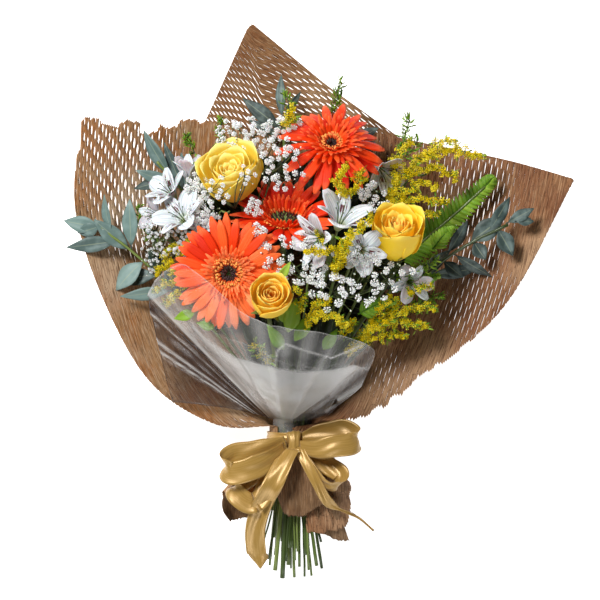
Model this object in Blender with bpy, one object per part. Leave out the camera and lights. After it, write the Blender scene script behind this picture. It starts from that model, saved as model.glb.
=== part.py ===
"""Mixed flower bouquet in a kraft paper wrap, lying on its back on a table.

The stems run along +Y, the blooms look up (+Z), and the table is z = 0. Places are written in
millimetres from the tie, where every stem is bound: x to the right, y towards the blooms, z up from
the table. At the end the whole bouquet is shifted so that the origin is the middle of its footprint.
"""

import math

import bmesh
import bpy
from mathutils import Vector

MM = 0.001
GAP = 0.3  # clearance between pieces that touch

# The bundle at the tie, from the inside out.
TIE_HEIGHT = 26.0  # middle of the bundle above the table
STEM_PITCH = 5.0  # from stem to stem in the bundle
STEM_RADIUS = 2.35  # of every stem where they are bound; above the tie they taper
TWINE_RADIUS = 18.4  # ring radius of the binding twine
TWINE_THICKNESS = 1.0
INNER_FILM_RADIUS = 19.7
OUTER_FILM_RADIUS = 20.8
SIDE_RADIUS = 22.0
BACK_RADIUS = 23.2
BAND_RADIUS = 24.4
NECK = 10.0  # half the length of the straight part of the wrap at the tie
MOUTH = 24.0  # above the tie, where the stems start to fan out

# Sheet goods.
PAPER = 0.7
FILM = 0.6
RIBBON = 0.8
RIBBON_WIDTH = 24.0

# Cut ends: how far below the tie a stem goes, and how the bundle opens there.
FOOT_LENGTHS = (128, 108, 118, 100, 131, 96, 122, 104)
FOOT_SPREAD = 1.75
FOOT_SQUASH = 0.95  # the table keeps the bundle from opening downwards

GERBERA_PETALS = 20

MATERIALS = {
    "kraft_paper": ((0.36, 0.19, 0.09), 0.85, 0.0),
    "clear_film": ((0.75, 0.76, 0.76), 0.12, 0.0),
    "satin_ribbon": ((0.62, 0.40, 0.11), 0.32, 0.0),
    "twine": ((0.30, 0.19, 0.09), 0.9, 0.0),
    "gerbera_petal": ((0.90, 0.13, 0.03), 0.55, 0.0),
    "rose_petal": ((0.90, 0.66, 0.09), 0.55, 0.0),
    "alstroemeria_petal": ((0.84, 0.84, 0.80), 0.55, 0.0),
    "babys_breath": ((0.80, 0.84, 0.78), 0.7, 0.0),
    "goldenrod": ((0.62, 0.52, 0.02), 0.75, 0.0),
    "eucalyptus_leaf": ((0.13, 0.22, 0.20), 0.6, 0.0),
    "fern_leaf": ((0.07, 0.20, 0.02), 0.6, 0.0),
    "green_stem": ((0.11, 0.22, 0.04), 0.6, 0.0),
}


# ---------------------------------------------------------------- where everything goes

# Blooms: middle of the face, the way it looks, and the size (radius, or radius and height).
GERBERAS = {
    "gerbera_front": ((-54, 152, 153), (-0.06, -0.20, 0.98), 46),
    "gerbera_middle": ((-5, 199, 112), (0.04, 0.84, 0.54), 45),
    "gerbera_top": ((36, 267, 104), (0.08, 0.60, 0.79), 47),
}
ROSES = {
    "rose_left": ((-53, 240, 106), (-0.30, 0.70, 0.65), 27, 46),
    "rose_right": ((93, 192, 136), (0.03, 0.50, 0.86), 23, 46),
    "rose_front": ((-13, 134, 172), (0.02, 0.26, 0.97), 18, 38),
}
# Alstroemerias: several blooms share one stem, so each bloom names the stem that carries it.
ALSTROEMERIAS = {
    "alstroemeria_left_upper": ((-106, 222, 96), (-0.35, 0.45, 0.82), 25),
    "alstroemeria_left_lower": ((-93, 194, 124), (-0.35, 0.10, 0.93), 22),
    "alstroemeria_middle": ((36, 196, 152), (0.05, 0.62, 0.78), 22),
    "alstroemeria_right": ((60, 174, 138), (0.12, 0.20, 0.97), 13),
    "alstroemeria_top": ((82, 244, 84), (0.35, 0.35, 0.87), 19),
    "alstroemeria_low": ((112, 146, 114), (0.35, -0.10, 0.93), 18),
}

# Sprays of small florets: the routes of the branches, each with the radius of the floret mass
# along it. The first route runs on from the bundle, and the others fork off it.
BABYS_BREATH = {
    "babys_breath_top": ([(-36, 236, 56)], [(-64, 278, 90, 8), (-44, 286, 96, 10), (-23, 288, 98, 8), (-22, 270, 106, 6)]),
    "babys_breath_over_rose": (
        [(-64, 192, 104), (-57, 209, 133)],
        [(-72, 236, 150, 6), (-58, 243, 153, 6), (-43, 233, 153, 6), (-60, 222, 150, 5)],
    ),
    "babys_breath_middle": (
        [(-14, 232, 60), (-20, 245, 96)],
        [(-20, 255, 128, 8), (0, 250, 142, 8), (12, 238, 152, 6), (-6, 236, 146, 7)],
    ),
    "babys_breath_left": ([(-100, 174, 80)], [(-124, 198, 92, 8), (-118, 178, 98, 8), (-86, 166, 106, 8), (-134, 180, 88, 7)]),
    "babys_breath_centre": ([(14, 146, 132)], [(8, 162, 160, 8), (26, 160, 150, 7), (24, 146, 156, 7), (40, 154, 144, 7)]),
    "babys_breath_right": ([(48, 130, 118)], [(62, 150, 154, 7), (80, 156, 138, 7), (52, 136, 154, 8), (36, 130, 156, 8), (68, 134, 142, 8)]),
}
GOLDENRODS = {
    "goldenrod_right_top": (
        [(98, 224, 72), (124, 246, 84), (146, 261, 86), (167, 255, 80)],
        [[(112, 236, 78), (110, 250, 84), (106, 262, 86)], [(120, 243, 78), (136, 240, 84), (146, 231, 86)]],
    ),
    "goldenrod_right_middle": ([(96, 196, 74), (116, 214, 86), (138, 214, 92)], [[(107, 206, 81), (113, 222, 94), (124, 229, 98)]]),
    "goldenrod_centre": ([(38, 148, 112), (38, 164, 164), (56, 190, 179)], [[(39, 166, 166), (28, 168, 178), (14, 172, 183)]]),
    "goldenrod_ball": ([(44, 204, 98), (50, 219, 132), (52, 224, 144)], [[(47, 212, 118), (60, 226, 134), (66, 231, 138)]]),
    "goldenrod_left": ([(-86, 130, 82), (-100, 148, 90), (-106, 157, 93)], [[(-94, 141, 86), (-110, 143, 88), (-121, 140, 88)]]),
    "goldenrod_low_right": (
        [(62, 92, 82), (84, 116, 104), (106, 126, 108), (126, 129, 104)],
        [[(72, 103, 92), (70, 116, 112), (82, 126, 120)]],
    ),
    "goldenrod_low_front": ([(56, 74, 66), (74, 92, 84), (96, 101, 92), (118, 108, 92)], [[(84, 96, 88), (104, 88, 90)]]),
    "goldenrod_low_centre": ([(10, 92, 116), (12, 108, 142), (32, 112, 140)], [[(11, 102, 132), (2, 112, 150)]]),
}
GREEN_TIPS = {
    "green_tip_top": [(28, 226, 44), (36, 290, 52), (42, 324, 58)],
    "green_tip_right": [(82, 232, 46), (100, 262, 52), (109, 290, 58)],
}
FERNS = {
    "fern_right": ([(92, 158, 52), (122, 184, 54), (153, 210, 57), (180, 235, 62)], 17),
}
# Eucalyptus: the route, how many pairs of leaves, and a leaf's length and width.
EUCALYPTUS = {
    "eucalyptus_left": ([(-84, 112, 54), (-112, 140, 62), (-147, 172, 72), (-178, 196, 78)], 4, 40, 20),
    "eucalyptus_upper_left": ([(-72, 186, 50), (-98, 224, 62), (-114, 244, 70), (-126, 258, 74)], 3, 34, 15),
    "eucalyptus_top": ([(-8, 230, 26), (-8, 280, 34), (-8, 302, 38)], 2, 34, 14),
    "eucalyptus_right": ([(98, 124, 56), (134, 160, 70), (162, 180, 78), (200, 199, 84)], 4, 34, 21),
}

# Sheets: guide columns from the skirt below the tie up to the free edge. The third point is the
# neck, given as an angle round the bundle (90 is the front, 270 the table side).
RIGHT_GUIDES = [
    [(6, -64, 4.6), (4, -30, 6), -82, (5, 50, 5), (11, 120, 5), (32, 215, 5), (70, 293, 6)],
    [(34, -62, 9), (22, -30, 14), -35, (22, 46, 14), (44, 113, 13), (80, 205, 11), (120, 281, 10)],
    [(56, -46, 22), (38, -26, 26), 5, (44, 38, 27), (76, 98, 28), (117, 182, 26), (165, 271, 22)],
    [(46, -92, 40), (34, -34, 46), 45, (54, 28, 42), (96, 78, 48), (158, 156, 48), (212, 259, 42)],
    [(-14, -88, 51), (-6, -40, 51), 95, (60, 14, 52), (119, 52, 66), (198, 124, 76), (264, 242, 66)],
]
LEFT_GUIDES = [
    [(-4, -66, 2.6), (-3, -30, 4), 262, (-4, 50, 2.8), (-8, 120, 2.6), (-12, 210, 2.6), (-15, 285, 6)],
    [(-34, -64, 6), (-24, -30, 10), 218, (-24, 46, 12), (-42, 113, 9), (-60, 212, 7), (-60, 297, 9)],
    [(-60, -70, 16), (-38, -32, 22), 185, (-42, 38, 25), (-76, 98, 25), (-105, 206, 20), (-105, 303, 18)],
    [(-66, -52, 34), (-42, -26, 38), 155, (-60, 26, 39), (-109, 82, 44), (-151, 202, 44), (-150, 301, 38)],
    [(-40, -78, 47), (-28, -34, 47), 130, (-76, 13, 50), (-142, 66, 66), (-193, 198, 72), (-191, 300, 60)],
]
FLAT = PAPER / 2  # the middle of a sheet that lies on the table
BACK_GUIDES = [
    [(-30, -70, FLAT), (-18, -30, 1), 222, (-21, 46, FLAT), (-48, 90, FLAT), (-92, 160, FLAT), (-128, 225, FLAT)],
    [(-18, -74, FLAT), (-11, -30, FLAT), 240, (-13, 50, FLAT), (-30, 106, FLAT), (-60, 205, FLAT), (-83, 304, FLAT)],
    [(-6, -76, FLAT), (-4, -30, FLAT), 258, (-5, 52, FLAT), (-12, 115, FLAT), (-26, 230, FLAT), (-37, 385, FLAT)],
    [(8, -76, FLAT), (4, -30, FLAT), 282, (5, 52, FLAT), (12, 112, FLAT), (20, 220, FLAT), (30, 338, FLAT)],
    [(20, -74, FLAT), (11, -30, FLAT), 300, (13, 50, FLAT), (32, 102, FLAT), (60, 195, FLAT), (98, 289, FLAT)],
    [(32, -70, FLAT), (18, -30, 1), 318, (21, 46, FLAT), (50, 88, FLAT), (96, 160, FLAT), (146, 246, FLAT)],
]
# The film has no skirt: its columns start at the neck.
INNER_FILM_GUIDES = [
    [160, (-46, 24, 44), (-80, 30, 58), (-112, 34, 72)],
    [152, (-46, 36, 52), (-88, 72, 70), (-127, 98, 84)],
    [138, (-40, 42, 68), (-86, 94, 100), (-130, 139, 112)],
    [118, (-28, 38, 84), (-66, 92, 152), (-93, 160, 184)],
    [100, (-12, 32, 92), (-34, 76, 160), (-46, 118, 184)],
    [80, (4, 30, 92), (0, 68, 156), (-4, 104, 186)],
    [62, (16, 30, 86), (26, 66, 144), (40, 98, 172)],
    [42, (28, 28, 70), (48, 58, 108), (74, 84, 128)],
    [24, (33, 22, 54), (46, 34, 76), (64, 50, 96)],
]
OUTER_FILM_GUIDES = [
    [124, (-30, 36, 98), (-60, 74, 156), (-84, 108, 178)],
    [104, (-12, 27, 104), (-26, 56, 158), (-34, 86, 188)],
    [80, (4, 25, 104), (4, 46, 150), (8, 70, 178)],
    [56, (19, 26, 98), (30, 50, 140), (44, 72, 168)],
    [36, (33, 26, 80), (46, 48, 112), (62, 68, 134)],
]

# Ribbon: the middle line of each strip, with heights above the band, and the way its width points.
RIBBON_STRIPS = {
    "ribbon_loop_left_upper": (
        [(-6.6, -3, 6), (-26, 0, 17), (-48, -4, 24), (-61, -16, 26), (-56, -28, 28), (-36, -28, 31), (-10, -8, 14)],
        [(0.3, 0.9, 0.3), (0.1, 0.9, -0.4), (0, 0.9, -0.4), (0.3, 0.8, -0.5), (0.25, 0.93, 0.1), (0.15, 0.95, 0.2), (0.3, 0.9, 0.3)],
    ),
    "ribbon_loop_left_lower": (
        [(-7.6, -15.6, 4.6), (-30, -34, 8), (-56, -44, 13), (-52, -64, 15), (-30, -68, 17), (-20, -48, 10), (-10, -27, 8.4)],
        [(0.7, 0.6, 0.3), (0.4, 0.9, 0.1), (0.6, 0.75, 0), (0.4, 0.85, 0.2), (-0.3, 0.9, 0.2), (-0.8, 0.5, 0.2), (-0.8, 0.3, 0.4)],
    ),
    "ribbon_loop_right_upper": (
        [(8.9, -3, 6), (26, 4, 17), (50, 8, 24), (63, -6, 26), (58, -22, 30), (34, -20, 33), (11, -7, 14)],
        [(-0.3, 0.9, 0.3), (-0.2, 0.9, -0.4), (0, 0.9, -0.4), (-0.3, 0.9, -0.4), (0.1, 0.95, 0.1), (-0.1, 0.97, 0.2), (-0.3, 0.9, 0.3)],
    ),
    "ribbon_loop_right_lower": (
        [(9.6, -15.6, 4.6), (30, -33, 10), (50, -36, 16), (54, -52, 16), (40, -58, 15), (27, -44, 10), (12, -26, 8.4)],
        [(-0.5, 0.8, 0.3), (-0.3, 0.9, -0.3), (0, 0.8, -0.5), (-0.3, 0.8, -0.5), (0.5, 0.8, 0.2), (0.6, 0.7, 0.2), (0.5, 0.7, 0.4)],
    ),
    "ribbon_tail_left": (
        [(-1, -26, 2.2), (-7, -46, 4.4), (-18, -72, 4.8), (-27, -98, 3), (-30, -121, -1)],
        [(0.95, 0.3, 0), (0.95, 0.3, 0), (0.98, 0.2, 0), (0.98, 0.1, 0), (0.98, 0.1, 0)],
    ),
    "ribbon_tail_right": (
        [(14, -28, 2.8), (25, -46, 3), (36, -62, 2), (47, -76, -1)],
        [(0.9, 0.4, 0), (0.6, 0.7, 0.1), (0.3, 0.5, 0.8), (0.3, 0.4, 0.85)],
    ),
}
RIBBON_WIDTHS = {"ribbon_tail_left": 20.0, "ribbon_tail_right": 10.0, "ribbon_loop_right_lower": 18.0, "ribbon_loop_left_lower": 20.0}


# ---------------------------------------------------------------- small tools


def clear_scene():
    for obj in list(bpy.data.objects):
        bpy.data.objects.remove(obj)


def material(slot):
    made = bpy.data.materials.get(slot)
    if made is None:
        colour, roughness, metallic = MATERIALS[slot]
        made = bpy.data.materials.new(slot)
        made.use_nodes = True
        shader = made.node_tree.nodes["Principled BSDF"]
        shader.inputs["Base Color"].default_value = (*colour, 1)
        shader.inputs["Roughness"].default_value = roughness
        shader.inputs["Metallic"].default_value = metallic
    return made


def place(name, mesh, slot, smooth=True):
    """A named node of the bouquet, from a mesh whose points are in metres from the tie."""
    obj = bpy.data.objects.new(name, mesh)
    bpy.context.scene.collection.objects.link(obj)
    mesh.materials.append(material(slot))
    if smooth:
        mesh.shade_smooth()
    return obj


def catmull(points, steps):
    """Points on one smooth curve through the given ones, with steps spans between each two."""
    ps = [Vector(p) for p in points]
    ends = [2 * ps[0] - ps[1], *ps, 2 * ps[-1] - ps[-2]]
    line = []
    for a, b, c, d in zip(ends, ends[1:], ends[2:], ends[3:]):
        for k in range(steps):
            t = k / steps
            line.append(
                0.5 * (2 * b + (c - a) * t + (2 * a - 5 * b + 4 * c - d) * t**2 + (3 * b - a - 3 * c + d) * t**3)
            )
    return [*line, ps[-1]]


def mesh_from(bm, name):
    bmesh.ops.recalc_face_normals(bm, faces=bm.faces)
    mesh = bpy.data.meshes.new(name)
    bm.to_mesh(mesh)
    bm.free()
    return mesh


def tube(name, points, radii, resolution=1):
    """A closed round tube in metres along points in millimetres, made by a bevelled curve."""
    curve = bpy.data.curves.new(name, "CURVE")
    curve.dimensions = "3D"
    curve.bevel_depth = MM
    curve.bevel_resolution = resolution
    curve.use_fill_caps = True
    spline = curve.splines.new("POLY")
    spline.points.add(len(points) - 1)
    for spot, point, radius in zip(spline.points, points, radii):
        spot.co = (*(Vector(point) * MM), 1)
        spot.radius = radius
    guide = bpy.data.objects.new(name, curve)
    bm = bmesh.new()
    bm.from_mesh(bpy.data.meshes.new_from_object(guide))
    bpy.data.objects.remove(guide)
    bmesh.ops.remove_doubles(bm, verts=bm.verts, dist=1e-5)
    return mesh_from(bm, name)


def ball(name, centre, radius, detail=1):
    bm = bmesh.new()
    bmesh.ops.create_icosphere(bm, subdivisions=detail, radius=radius * MM)
    bmesh.ops.translate(bm, verts=bm.verts, vec=Vector(centre) * MM)
    return mesh_from(bm, name)


def plate(name, middle, sides, thickness):
    """A thin closed plate along the middle points, reaching out by each pair of side vectors."""
    rows = [[(m - s) * MM, m * MM, (m + s) * MM] for m, s in zip(middle, sides)]
    return sheet_mesh(name, rows, thickness)


def sheet_mesh(name, rows, thickness, ring=False):
    """A closed sheet of even thickness from a grid of points in metres; a ring closes on itself.

    Both sides are split along the same diagonals, so that they never cross where the sheet twists.
    """
    last = len(rows) - (0 if ring else 1)
    width = len(rows[0])
    halves = []
    for i in range(last):
        for j in range(width - 1):
            low = i * width + j
            high = (i + 1) % len(rows) * width + j
            halves.append((low, low + 1, high + 1))
            halves.append((low, high + 1, high))
    middle = bpy.data.meshes.new(name + "_middle")
    middle.from_pydata([p for row in rows for p in row], [], halves)
    half = thickness * MM / 2
    top = [v.co + v.normal * half for v in middle.vertices]
    under = [v.co - v.normal * half for v in middle.vertices]
    count = len(top)
    faces = [*halves, *[tuple(count + k for k in reversed(triple)) for triple in halves]]
    used = {}
    for a, b, c in halves:
        for edge in ((a, b), (b, c), (c, a)):
            used[edge] = True
    for a, b in used:
        if (b, a) not in used:
            faces.append((b, a, count + a, count + b))
    mesh = bpy.data.meshes.new(name)
    mesh.from_pydata([*top, *under], [], faces)
    return mesh


def united(name, meshes, slot):
    """One node from overlapping closed meshes, joined by a Boolean union."""
    parts = bpy.data.collections.new(name + "_parts")
    bpy.context.scene.collection.children.link(parts)
    for index, mesh in enumerate(meshes[1:]):
        helper = bpy.data.objects.new(f"{name}_part_{index}", mesh)
        helper.hide_render = True
        helper.display_type = "WIRE"
        parts.objects.link(helper)
    node = place(name, meshes[0], slot)
    union = node.modifiers.new("union", "BOOLEAN")
    union.operation = "UNION"
    union.operand_type = "COLLECTION"
    union.collection = parts
    return node


# ---------------------------------------------------------------- the bundle of stems


def bundle_slots(count):
    """Places for the stems round the middle of the tie, in a honeycomb, nearest first."""
    found = []
    for row in range(-6, 7):
        for column in range(-6, 7):
            x = (column + row % 2 / 2) * STEM_PITCH
            z = row * STEM_PITCH * math.sqrt(3) / 2
            found.append((math.hypot(x, z + 0.01 * x), x, z))
    return [(x, z) for _, x, z in sorted(found)[:count]]


def shared_out(aims):
    """Gives each stem a slot so that no two cross: slots are swapped until no swap shortens the way."""
    slots = bundle_slots(len(aims))
    order = sorted(range(len(aims)), key=lambda i: aims[i])
    chosen = {index: slots[rank] for rank, index in enumerate(order)}
    swapped = True
    while swapped:
        swapped = False
        for i in chosen:
            for j in chosen:
                gain = sum((chosen[i][k] - chosen[j][k]) * (aims[i][k] - aims[j][k]) for k in (0, 1))
                if gain < -1e-9:
                    chosen[i], chosen[j] = chosen[j], chosen[i]
                    swapped = True
    return chosen


def stem_line(slot, foot_length, route):
    """A stem from its cut end, through its slot at the tie, along its route."""
    x, z = slot
    foot = (x * FOOT_SPREAD, -foot_length, TIE_HEIGHT + z * FOOT_SQUASH)
    knee = (x * 1.08, -18, TIE_HEIGHT + z)
    neck = (x, 6, TIE_HEIGHT + z)
    mouth = (x * 1.12, MOUTH, TIE_HEIGHT + z * 1.08)
    return [foot, knee, neck, mouth, *route]


def eased(route, spans=2):
    """The way from the tie to the first point of a route and on along it, as a smooth line."""
    return catmull(route, spans)


class Bundle:
    """Collects every stem's route, then hands each one its slot and draws it."""

    def __init__(self):
        self.routes = {}

    def add(self, name, route, radius, tip_radius=None):
        self.routes[name] = (route, radius, tip_radius or radius)

    def lines(self):
        names = list(self.routes)
        aims = []
        for name in names:
            x, y, z = self.routes[name][0][0]
            reach = 100 / (y - MOUTH)
            aims.append((x * reach, (z - TIE_HEIGHT) * reach))
        slots = shared_out(aims)
        found = {}
        for index, name in enumerate(names):
            route, radius, tip = self.routes[name]
            guide = stem_line(slots[index], FOOT_LENGTHS[index % len(FOOT_LENGTHS)], route)
            line = [Vector(p) for p in guide[:3]] + eased(guide[3:])
            free = len(line) - 4
            radii = [STEM_RADIUS] * 3 + [radius + (tip - radius) * k / free for k in range(free + 1)]
            found[name] = (line, radii)
        return found


# ---------------------------------------------------------------- blooms


def turned(name, profile, segments, lobes=0, notch=0.0):
    """A closed turned body about local Z. Rings marked as petals are notched between the lobes."""
    bm = bmesh.new()
    rings = []
    for radius, height, is_petal in profile:
        ring = []
        for k in range(segments):
            turn = 2 * math.pi * k / segments
            share = 1 - notch * (0.5 - 0.5 * math.cos(lobes * turn)) if is_petal else 1
            ring.append(bm.verts.new(Vector((math.cos(turn) * share * radius, math.sin(turn) * share * radius, height)) * MM))
        rings.append(ring)
    for low, high in zip(rings, rings[1:]):
        for k in range(segments):
            bm.faces.new((low[k - 1], low[k], high[k], high[k - 1]))
    bm.faces.new(rings[0])
    bm.faces.new(rings[-1])
    return mesh_from(bm, name)


def seat(obj, centre, facing, depth):
    """Turns a bloom to look along facing, with its local origin at the end of its stem."""
    facing = Vector(facing).normalized()
    obj.rotation_mode = "QUATERNION"
    obj.rotation_quaternion = facing.to_track_quat("Z", "Y")
    obj.location = (Vector(centre) - facing * depth) * MM
    return Vector(centre) - facing * (depth + GAP)


def gerbera(name, centre, facing, radius):
    """Ray petals round a domed disc, on a green cup. Returns where the stem ends."""
    profile = [
        (3.2, 0, False),
        (radius * 0.3, 8, False),
        (radius, 11, True),
        (radius, 13, True),
        (radius * 0.5, 15, False),
        (radius * 0.36, 17.5, False),
        (radius * 0.12, 16, False),
    ]
    mesh = turned(name, profile, 2 * GERBERA_PETALS, GERBERA_PETALS, 0.16)
    obj = place(name, mesh, "gerbera_petal")
    return seat(obj, centre, facing, 14)


def rose(name, centre, facing, radius, height):
    """A cup of petals, widest above the middle, with a sunk spiral on top."""
    profile = [
        (3.6, 0, False),
        (radius * 0.72, height * 0.16, False),
        (radius * 0.98, height * 0.45, False),
        (radius, height * 0.72, False),
        (radius * 0.86, height * 0.94, True),
        (radius * 0.62, height, True),
        (radius * 0.4, height * 0.93, False),
    ]
    mesh = turned(name, profile, 15, 5, 0.08)
    obj = place(name, mesh, "rose_petal")
    return seat(obj, centre, facing, height * 0.55)


def alstroemeria(name, centre, facing, radius):
    """A short trumpet of six petals."""
    profile = [
        (2.4, 0, False),
        (radius * 0.22, 9, False),
        (radius * 0.5, 17, True),
        (radius, 25, True),
        (radius, 26.4, True),
        (radius * 0.48, 19.5, True),
        (radius * 0.12, 12, False),
    ]
    mesh = turned(name, profile, 24, 6, 0.3)
    obj = place(name, mesh, "alstroemeria_petal")
    return seat(obj, centre, facing, 20)


# ---------------------------------------------------------------- foliage


def leaf(name, base, along, normal, length, width):
    """A thin oval leaf blade, with a point at the tip."""
    along = Vector(along).normalized()
    side = along.cross(Vector(normal)).normalized()
    shares = [(0.0, 0.05), (0.2, 0.8), (0.5, 1.0), (0.78, 0.72), (1.0, 0.1)]
    middle = [Vector(base) + along * (0.6 + length * s) for s, _ in shares]
    sides = [side * width / 2 * w for _, w in shares]
    return plate(name, middle, sides, 1.0)


def eucalyptus(name, line, radii, pairs, length, width):
    """Opposite leaves in pairs, each pair turned a quarter from the last, smaller to the tip."""
    meshes = [tube(name, line, radii)]
    for pair in range(pairs):
        at = len(line) - 1 - (pairs - 1 - pair) * 2
        at = max(4, min(len(line) - 2, at))
        along = (line[at + 1] - line[at - 1]).normalized()
        across = along.cross(Vector((0, 0, 1))).normalized()
        size = 1.0 - 0.28 * pair / max(1, pairs - 1)
        for hand in (-1, 1):
            lift = 0.55 if pair % 2 else 0.12
            reach = across * hand * (0.55 if pair % 2 else 0.95) + along * 0.55 + Vector((0, 0, lift))
            normal = Vector((0, 0, 1)) + across * hand * -0.3
            meshes.append(leaf(f"{name}_{pair}", line[at], reach, normal, length * size, width * size))
    return united(name, meshes, "eucalyptus_leaf")


def fern(name, line, radii, half_width):
    """A frond as one toothed blade, with its stalk."""
    blade = catmull(line[-6:], 3)
    middle = []
    sides = []
    for k, point in enumerate(blade):
        along = (blade[min(k + 1, len(blade) - 1)] - blade[max(k - 1, 0)]).normalized()
        across = along.cross(Vector((0, 0, 1))).normalized()
        share = k / (len(blade) - 1)
        reach = half_width * math.sin(math.pi * (0.12 + 0.86 * share)) ** 0.7
        middle.append(point)
        sides.append(across * max(1.2, reach * (1.0 if k % 2 else 0.72)))
    return united(name, [tube(name, line, radii), plate(name + "_blade", middle, sides, 1.2)], "fern_leaf")


def plume(points, low, high):
    """A floret mass along a branch: its line and radii, thickest in the middle."""
    line = catmull(points, 3)
    last = len(line) - 1
    radii = [low + (high - low) * math.sin(math.pi * min(1.0, 0.1 + 0.85 * k / last)) for k in range(last + 1)]
    return line, radii


def goldenrod(name, line, radii, main, forks):
    meshes = [tube(name, line, radii)]
    head, head_radii = plume(main[1:], 2.2, 6.2)
    meshes.append(tube(name + "_head", head, head_radii))
    for index, fork in enumerate(forks):
        side, side_radii = plume(fork, 1.6, 5.4)
        meshes.append(tube(f"{name}_fork_{index}", side, side_radii))
    return united(name, meshes, "goldenrod")


def babys_breath(name, line, radii, fork, clumps):
    """Fine branches from one fork, each with a small cloud of florets at its end."""
    meshes = [tube(name, line, radii)]
    for index, (x, y, z, radius) in enumerate(clumps):
        start = Vector(fork)
        end = Vector((x, y, z))
        bend = (start + end) / 2 + (end - start).cross(Vector((0, 0, 1))) * 0.06
        meshes.append(tube(f"{name}_branch_{index}", [start, bend, end], [0.9, 0.8, 0.8], 0))
        meshes.append(ball(f"{name}_clump_{index}", end, radius))
    return united(name, meshes, "babys_breath")


# ---------------------------------------------------------------- the wrap and the ribbon


def neck_point(degrees, radius, y):
    turn = math.radians(degrees)
    return Vector((radius * math.cos(turn), y, TIE_HEIGHT + radius * math.sin(turn)))


def gathered(name, guides, radius, slot, thickness, neck=(-NECK, NECK), across=3, along=2):
    """A sheet gathered at the neck: a smooth grid through its guide columns."""
    bands = []
    for spots in zip(*guides):
        if isinstance(spots[0], tuple):
            bands.append(catmull(spots, across))
        else:
            turns = [p.x for p in catmull([(turn, 0, 0) for turn in spots], across)]
            bands.append([neck_point(turn, radius, neck[0]) for turn in turns])
            waist = len(bands)
            bands.append([neck_point(turn, radius, neck[1]) for turn in turns])
    columns = []
    for column in zip(*bands):
        skirt = catmull(column[:waist], along) if waist > 1 else [column[0]]
        columns.append([*skirt, *catmull(column[waist:], along)])
    rest = thickness / 2  # nothing hangs below the table
    rows = [[Vector((p.x, p.y, max(p.z, rest))) * MM for p in column] for column in columns]
    return place(name, sheet_mesh(name, rows, thickness), slot)


def wrap():
    gathered("kraft_sheet_back", BACK_GUIDES, BACK_RADIUS, "kraft_paper", PAPER, across=1)
    gathered("kraft_sheet_left", LEFT_GUIDES, SIDE_RADIUS, "kraft_paper", PAPER, across=2)
    gathered("kraft_sheet_right", RIGHT_GUIDES, SIDE_RADIUS, "kraft_paper", PAPER, across=2)
    gathered("cellophane_inner", INNER_FILM_GUIDES, INNER_FILM_RADIUS, "clear_film", FILM, (-2.0, 16.0), across=2)
    gathered("cellophane_outer", OUTER_FILM_GUIDES, OUTER_FILM_RADIUS, "clear_film", FILM, (1.0, 14.0), across=2)


def ring(name, radius, points, slot, half_width, thickness):
    """A closed band round the bundle at the tie."""
    turns = [360 * k / points for k in range(points)]
    rows = [[neck_point(turn, radius, y) * MM for y in (-half_width, half_width)] for turn in turns]
    return place(name, sheet_mesh(name, rows, thickness, ring=True), slot)


def ribbon_strip(name, middle, widths):
    line = catmull([(x, y, TIE_HEIGHT + BAND_RADIUS + rise) for x, y, rise in middle], 3)
    ways = [w.normalized() for w in catmull(widths, 3)]
    half = RIBBON_WIDTHS.get(name, RIBBON_WIDTH) / 2
    rows = [[(p - w * half) * MM, p * MM, (p + w * half) * MM] for p, w in zip(line, ways)]
    return place(name, sheet_mesh(name, rows, RIBBON), "satin_ribbon")


def knot():
    bm = bmesh.new()
    bmesh.ops.create_uvsphere(bm, u_segments=10, v_segments=6, radius=MM)
    bmesh.ops.scale(bm, verts=bm.verts, vec=(8, 9, 3.6))
    bmesh.ops.translate(bm, verts=bm.verts, vec=Vector((1, -5, TIE_HEIGHT + BAND_RADIUS + 4.4)) * MM)
    place("ribbon_knot", mesh_from(bm, "ribbon_knot"), "satin_ribbon")


def binding():
    ring("binding_twine", TWINE_RADIUS, 20, "twine", 1.6, TWINE_THICKNESS)
    ring("ribbon_band", BAND_RADIUS, 24, "satin_ribbon", 8, RIBBON)
    knot()
    for name, (middle, widths) in RIBBON_STRIPS.items():
        ribbon_strip(name, middle, widths)


# ---------------------------------------------------------------- the whole bouquet


def run_in(end, facing, reach):
    """The last bit of a stem, straight into the back of its bloom."""
    along = Vector(facing).normalized()
    return [end - along * reach, end - along * 4, end]


def blooms(bundle):
    for name, (centre, facing, radius) in GERBERAS.items():
        end = gerbera(name, centre, facing, radius)
        bundle.add(name + "_stem", run_in(end, facing, 24), 2.3)
    for name, (centre, facing, radius, height) in ROSES.items():
        end = rose(name, centre, facing, radius, height)
        bundle.add(name + "_stem", run_in(end, facing, 22), 2.3)
    for name, (centre, facing, radius) in ALSTROEMERIAS.items():
        end = alstroemeria(name, centre, facing, radius)
        bundle.add(name + "_stem", run_in(end, facing, 14), 1.6)


def sprays(bundle):
    for name, (route, _) in BABYS_BREATH.items():
        bundle.add(name, route, 1.4, 1.0)
    for name, (main, _) in GOLDENRODS.items():
        bundle.add(name, main[:2], 1.7, 1.5)
    for name, route in GREEN_TIPS.items():
        bundle.add(name, route[:2], 1.6, 1.4)
    for name, (route, _) in FERNS.items():
        bundle.add(name, route, 1.5, 0.8)
    for name, (route, _, _, _) in EUCALYPTUS.items():
        bundle.add(name, route, 1.6, 0.8)


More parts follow.
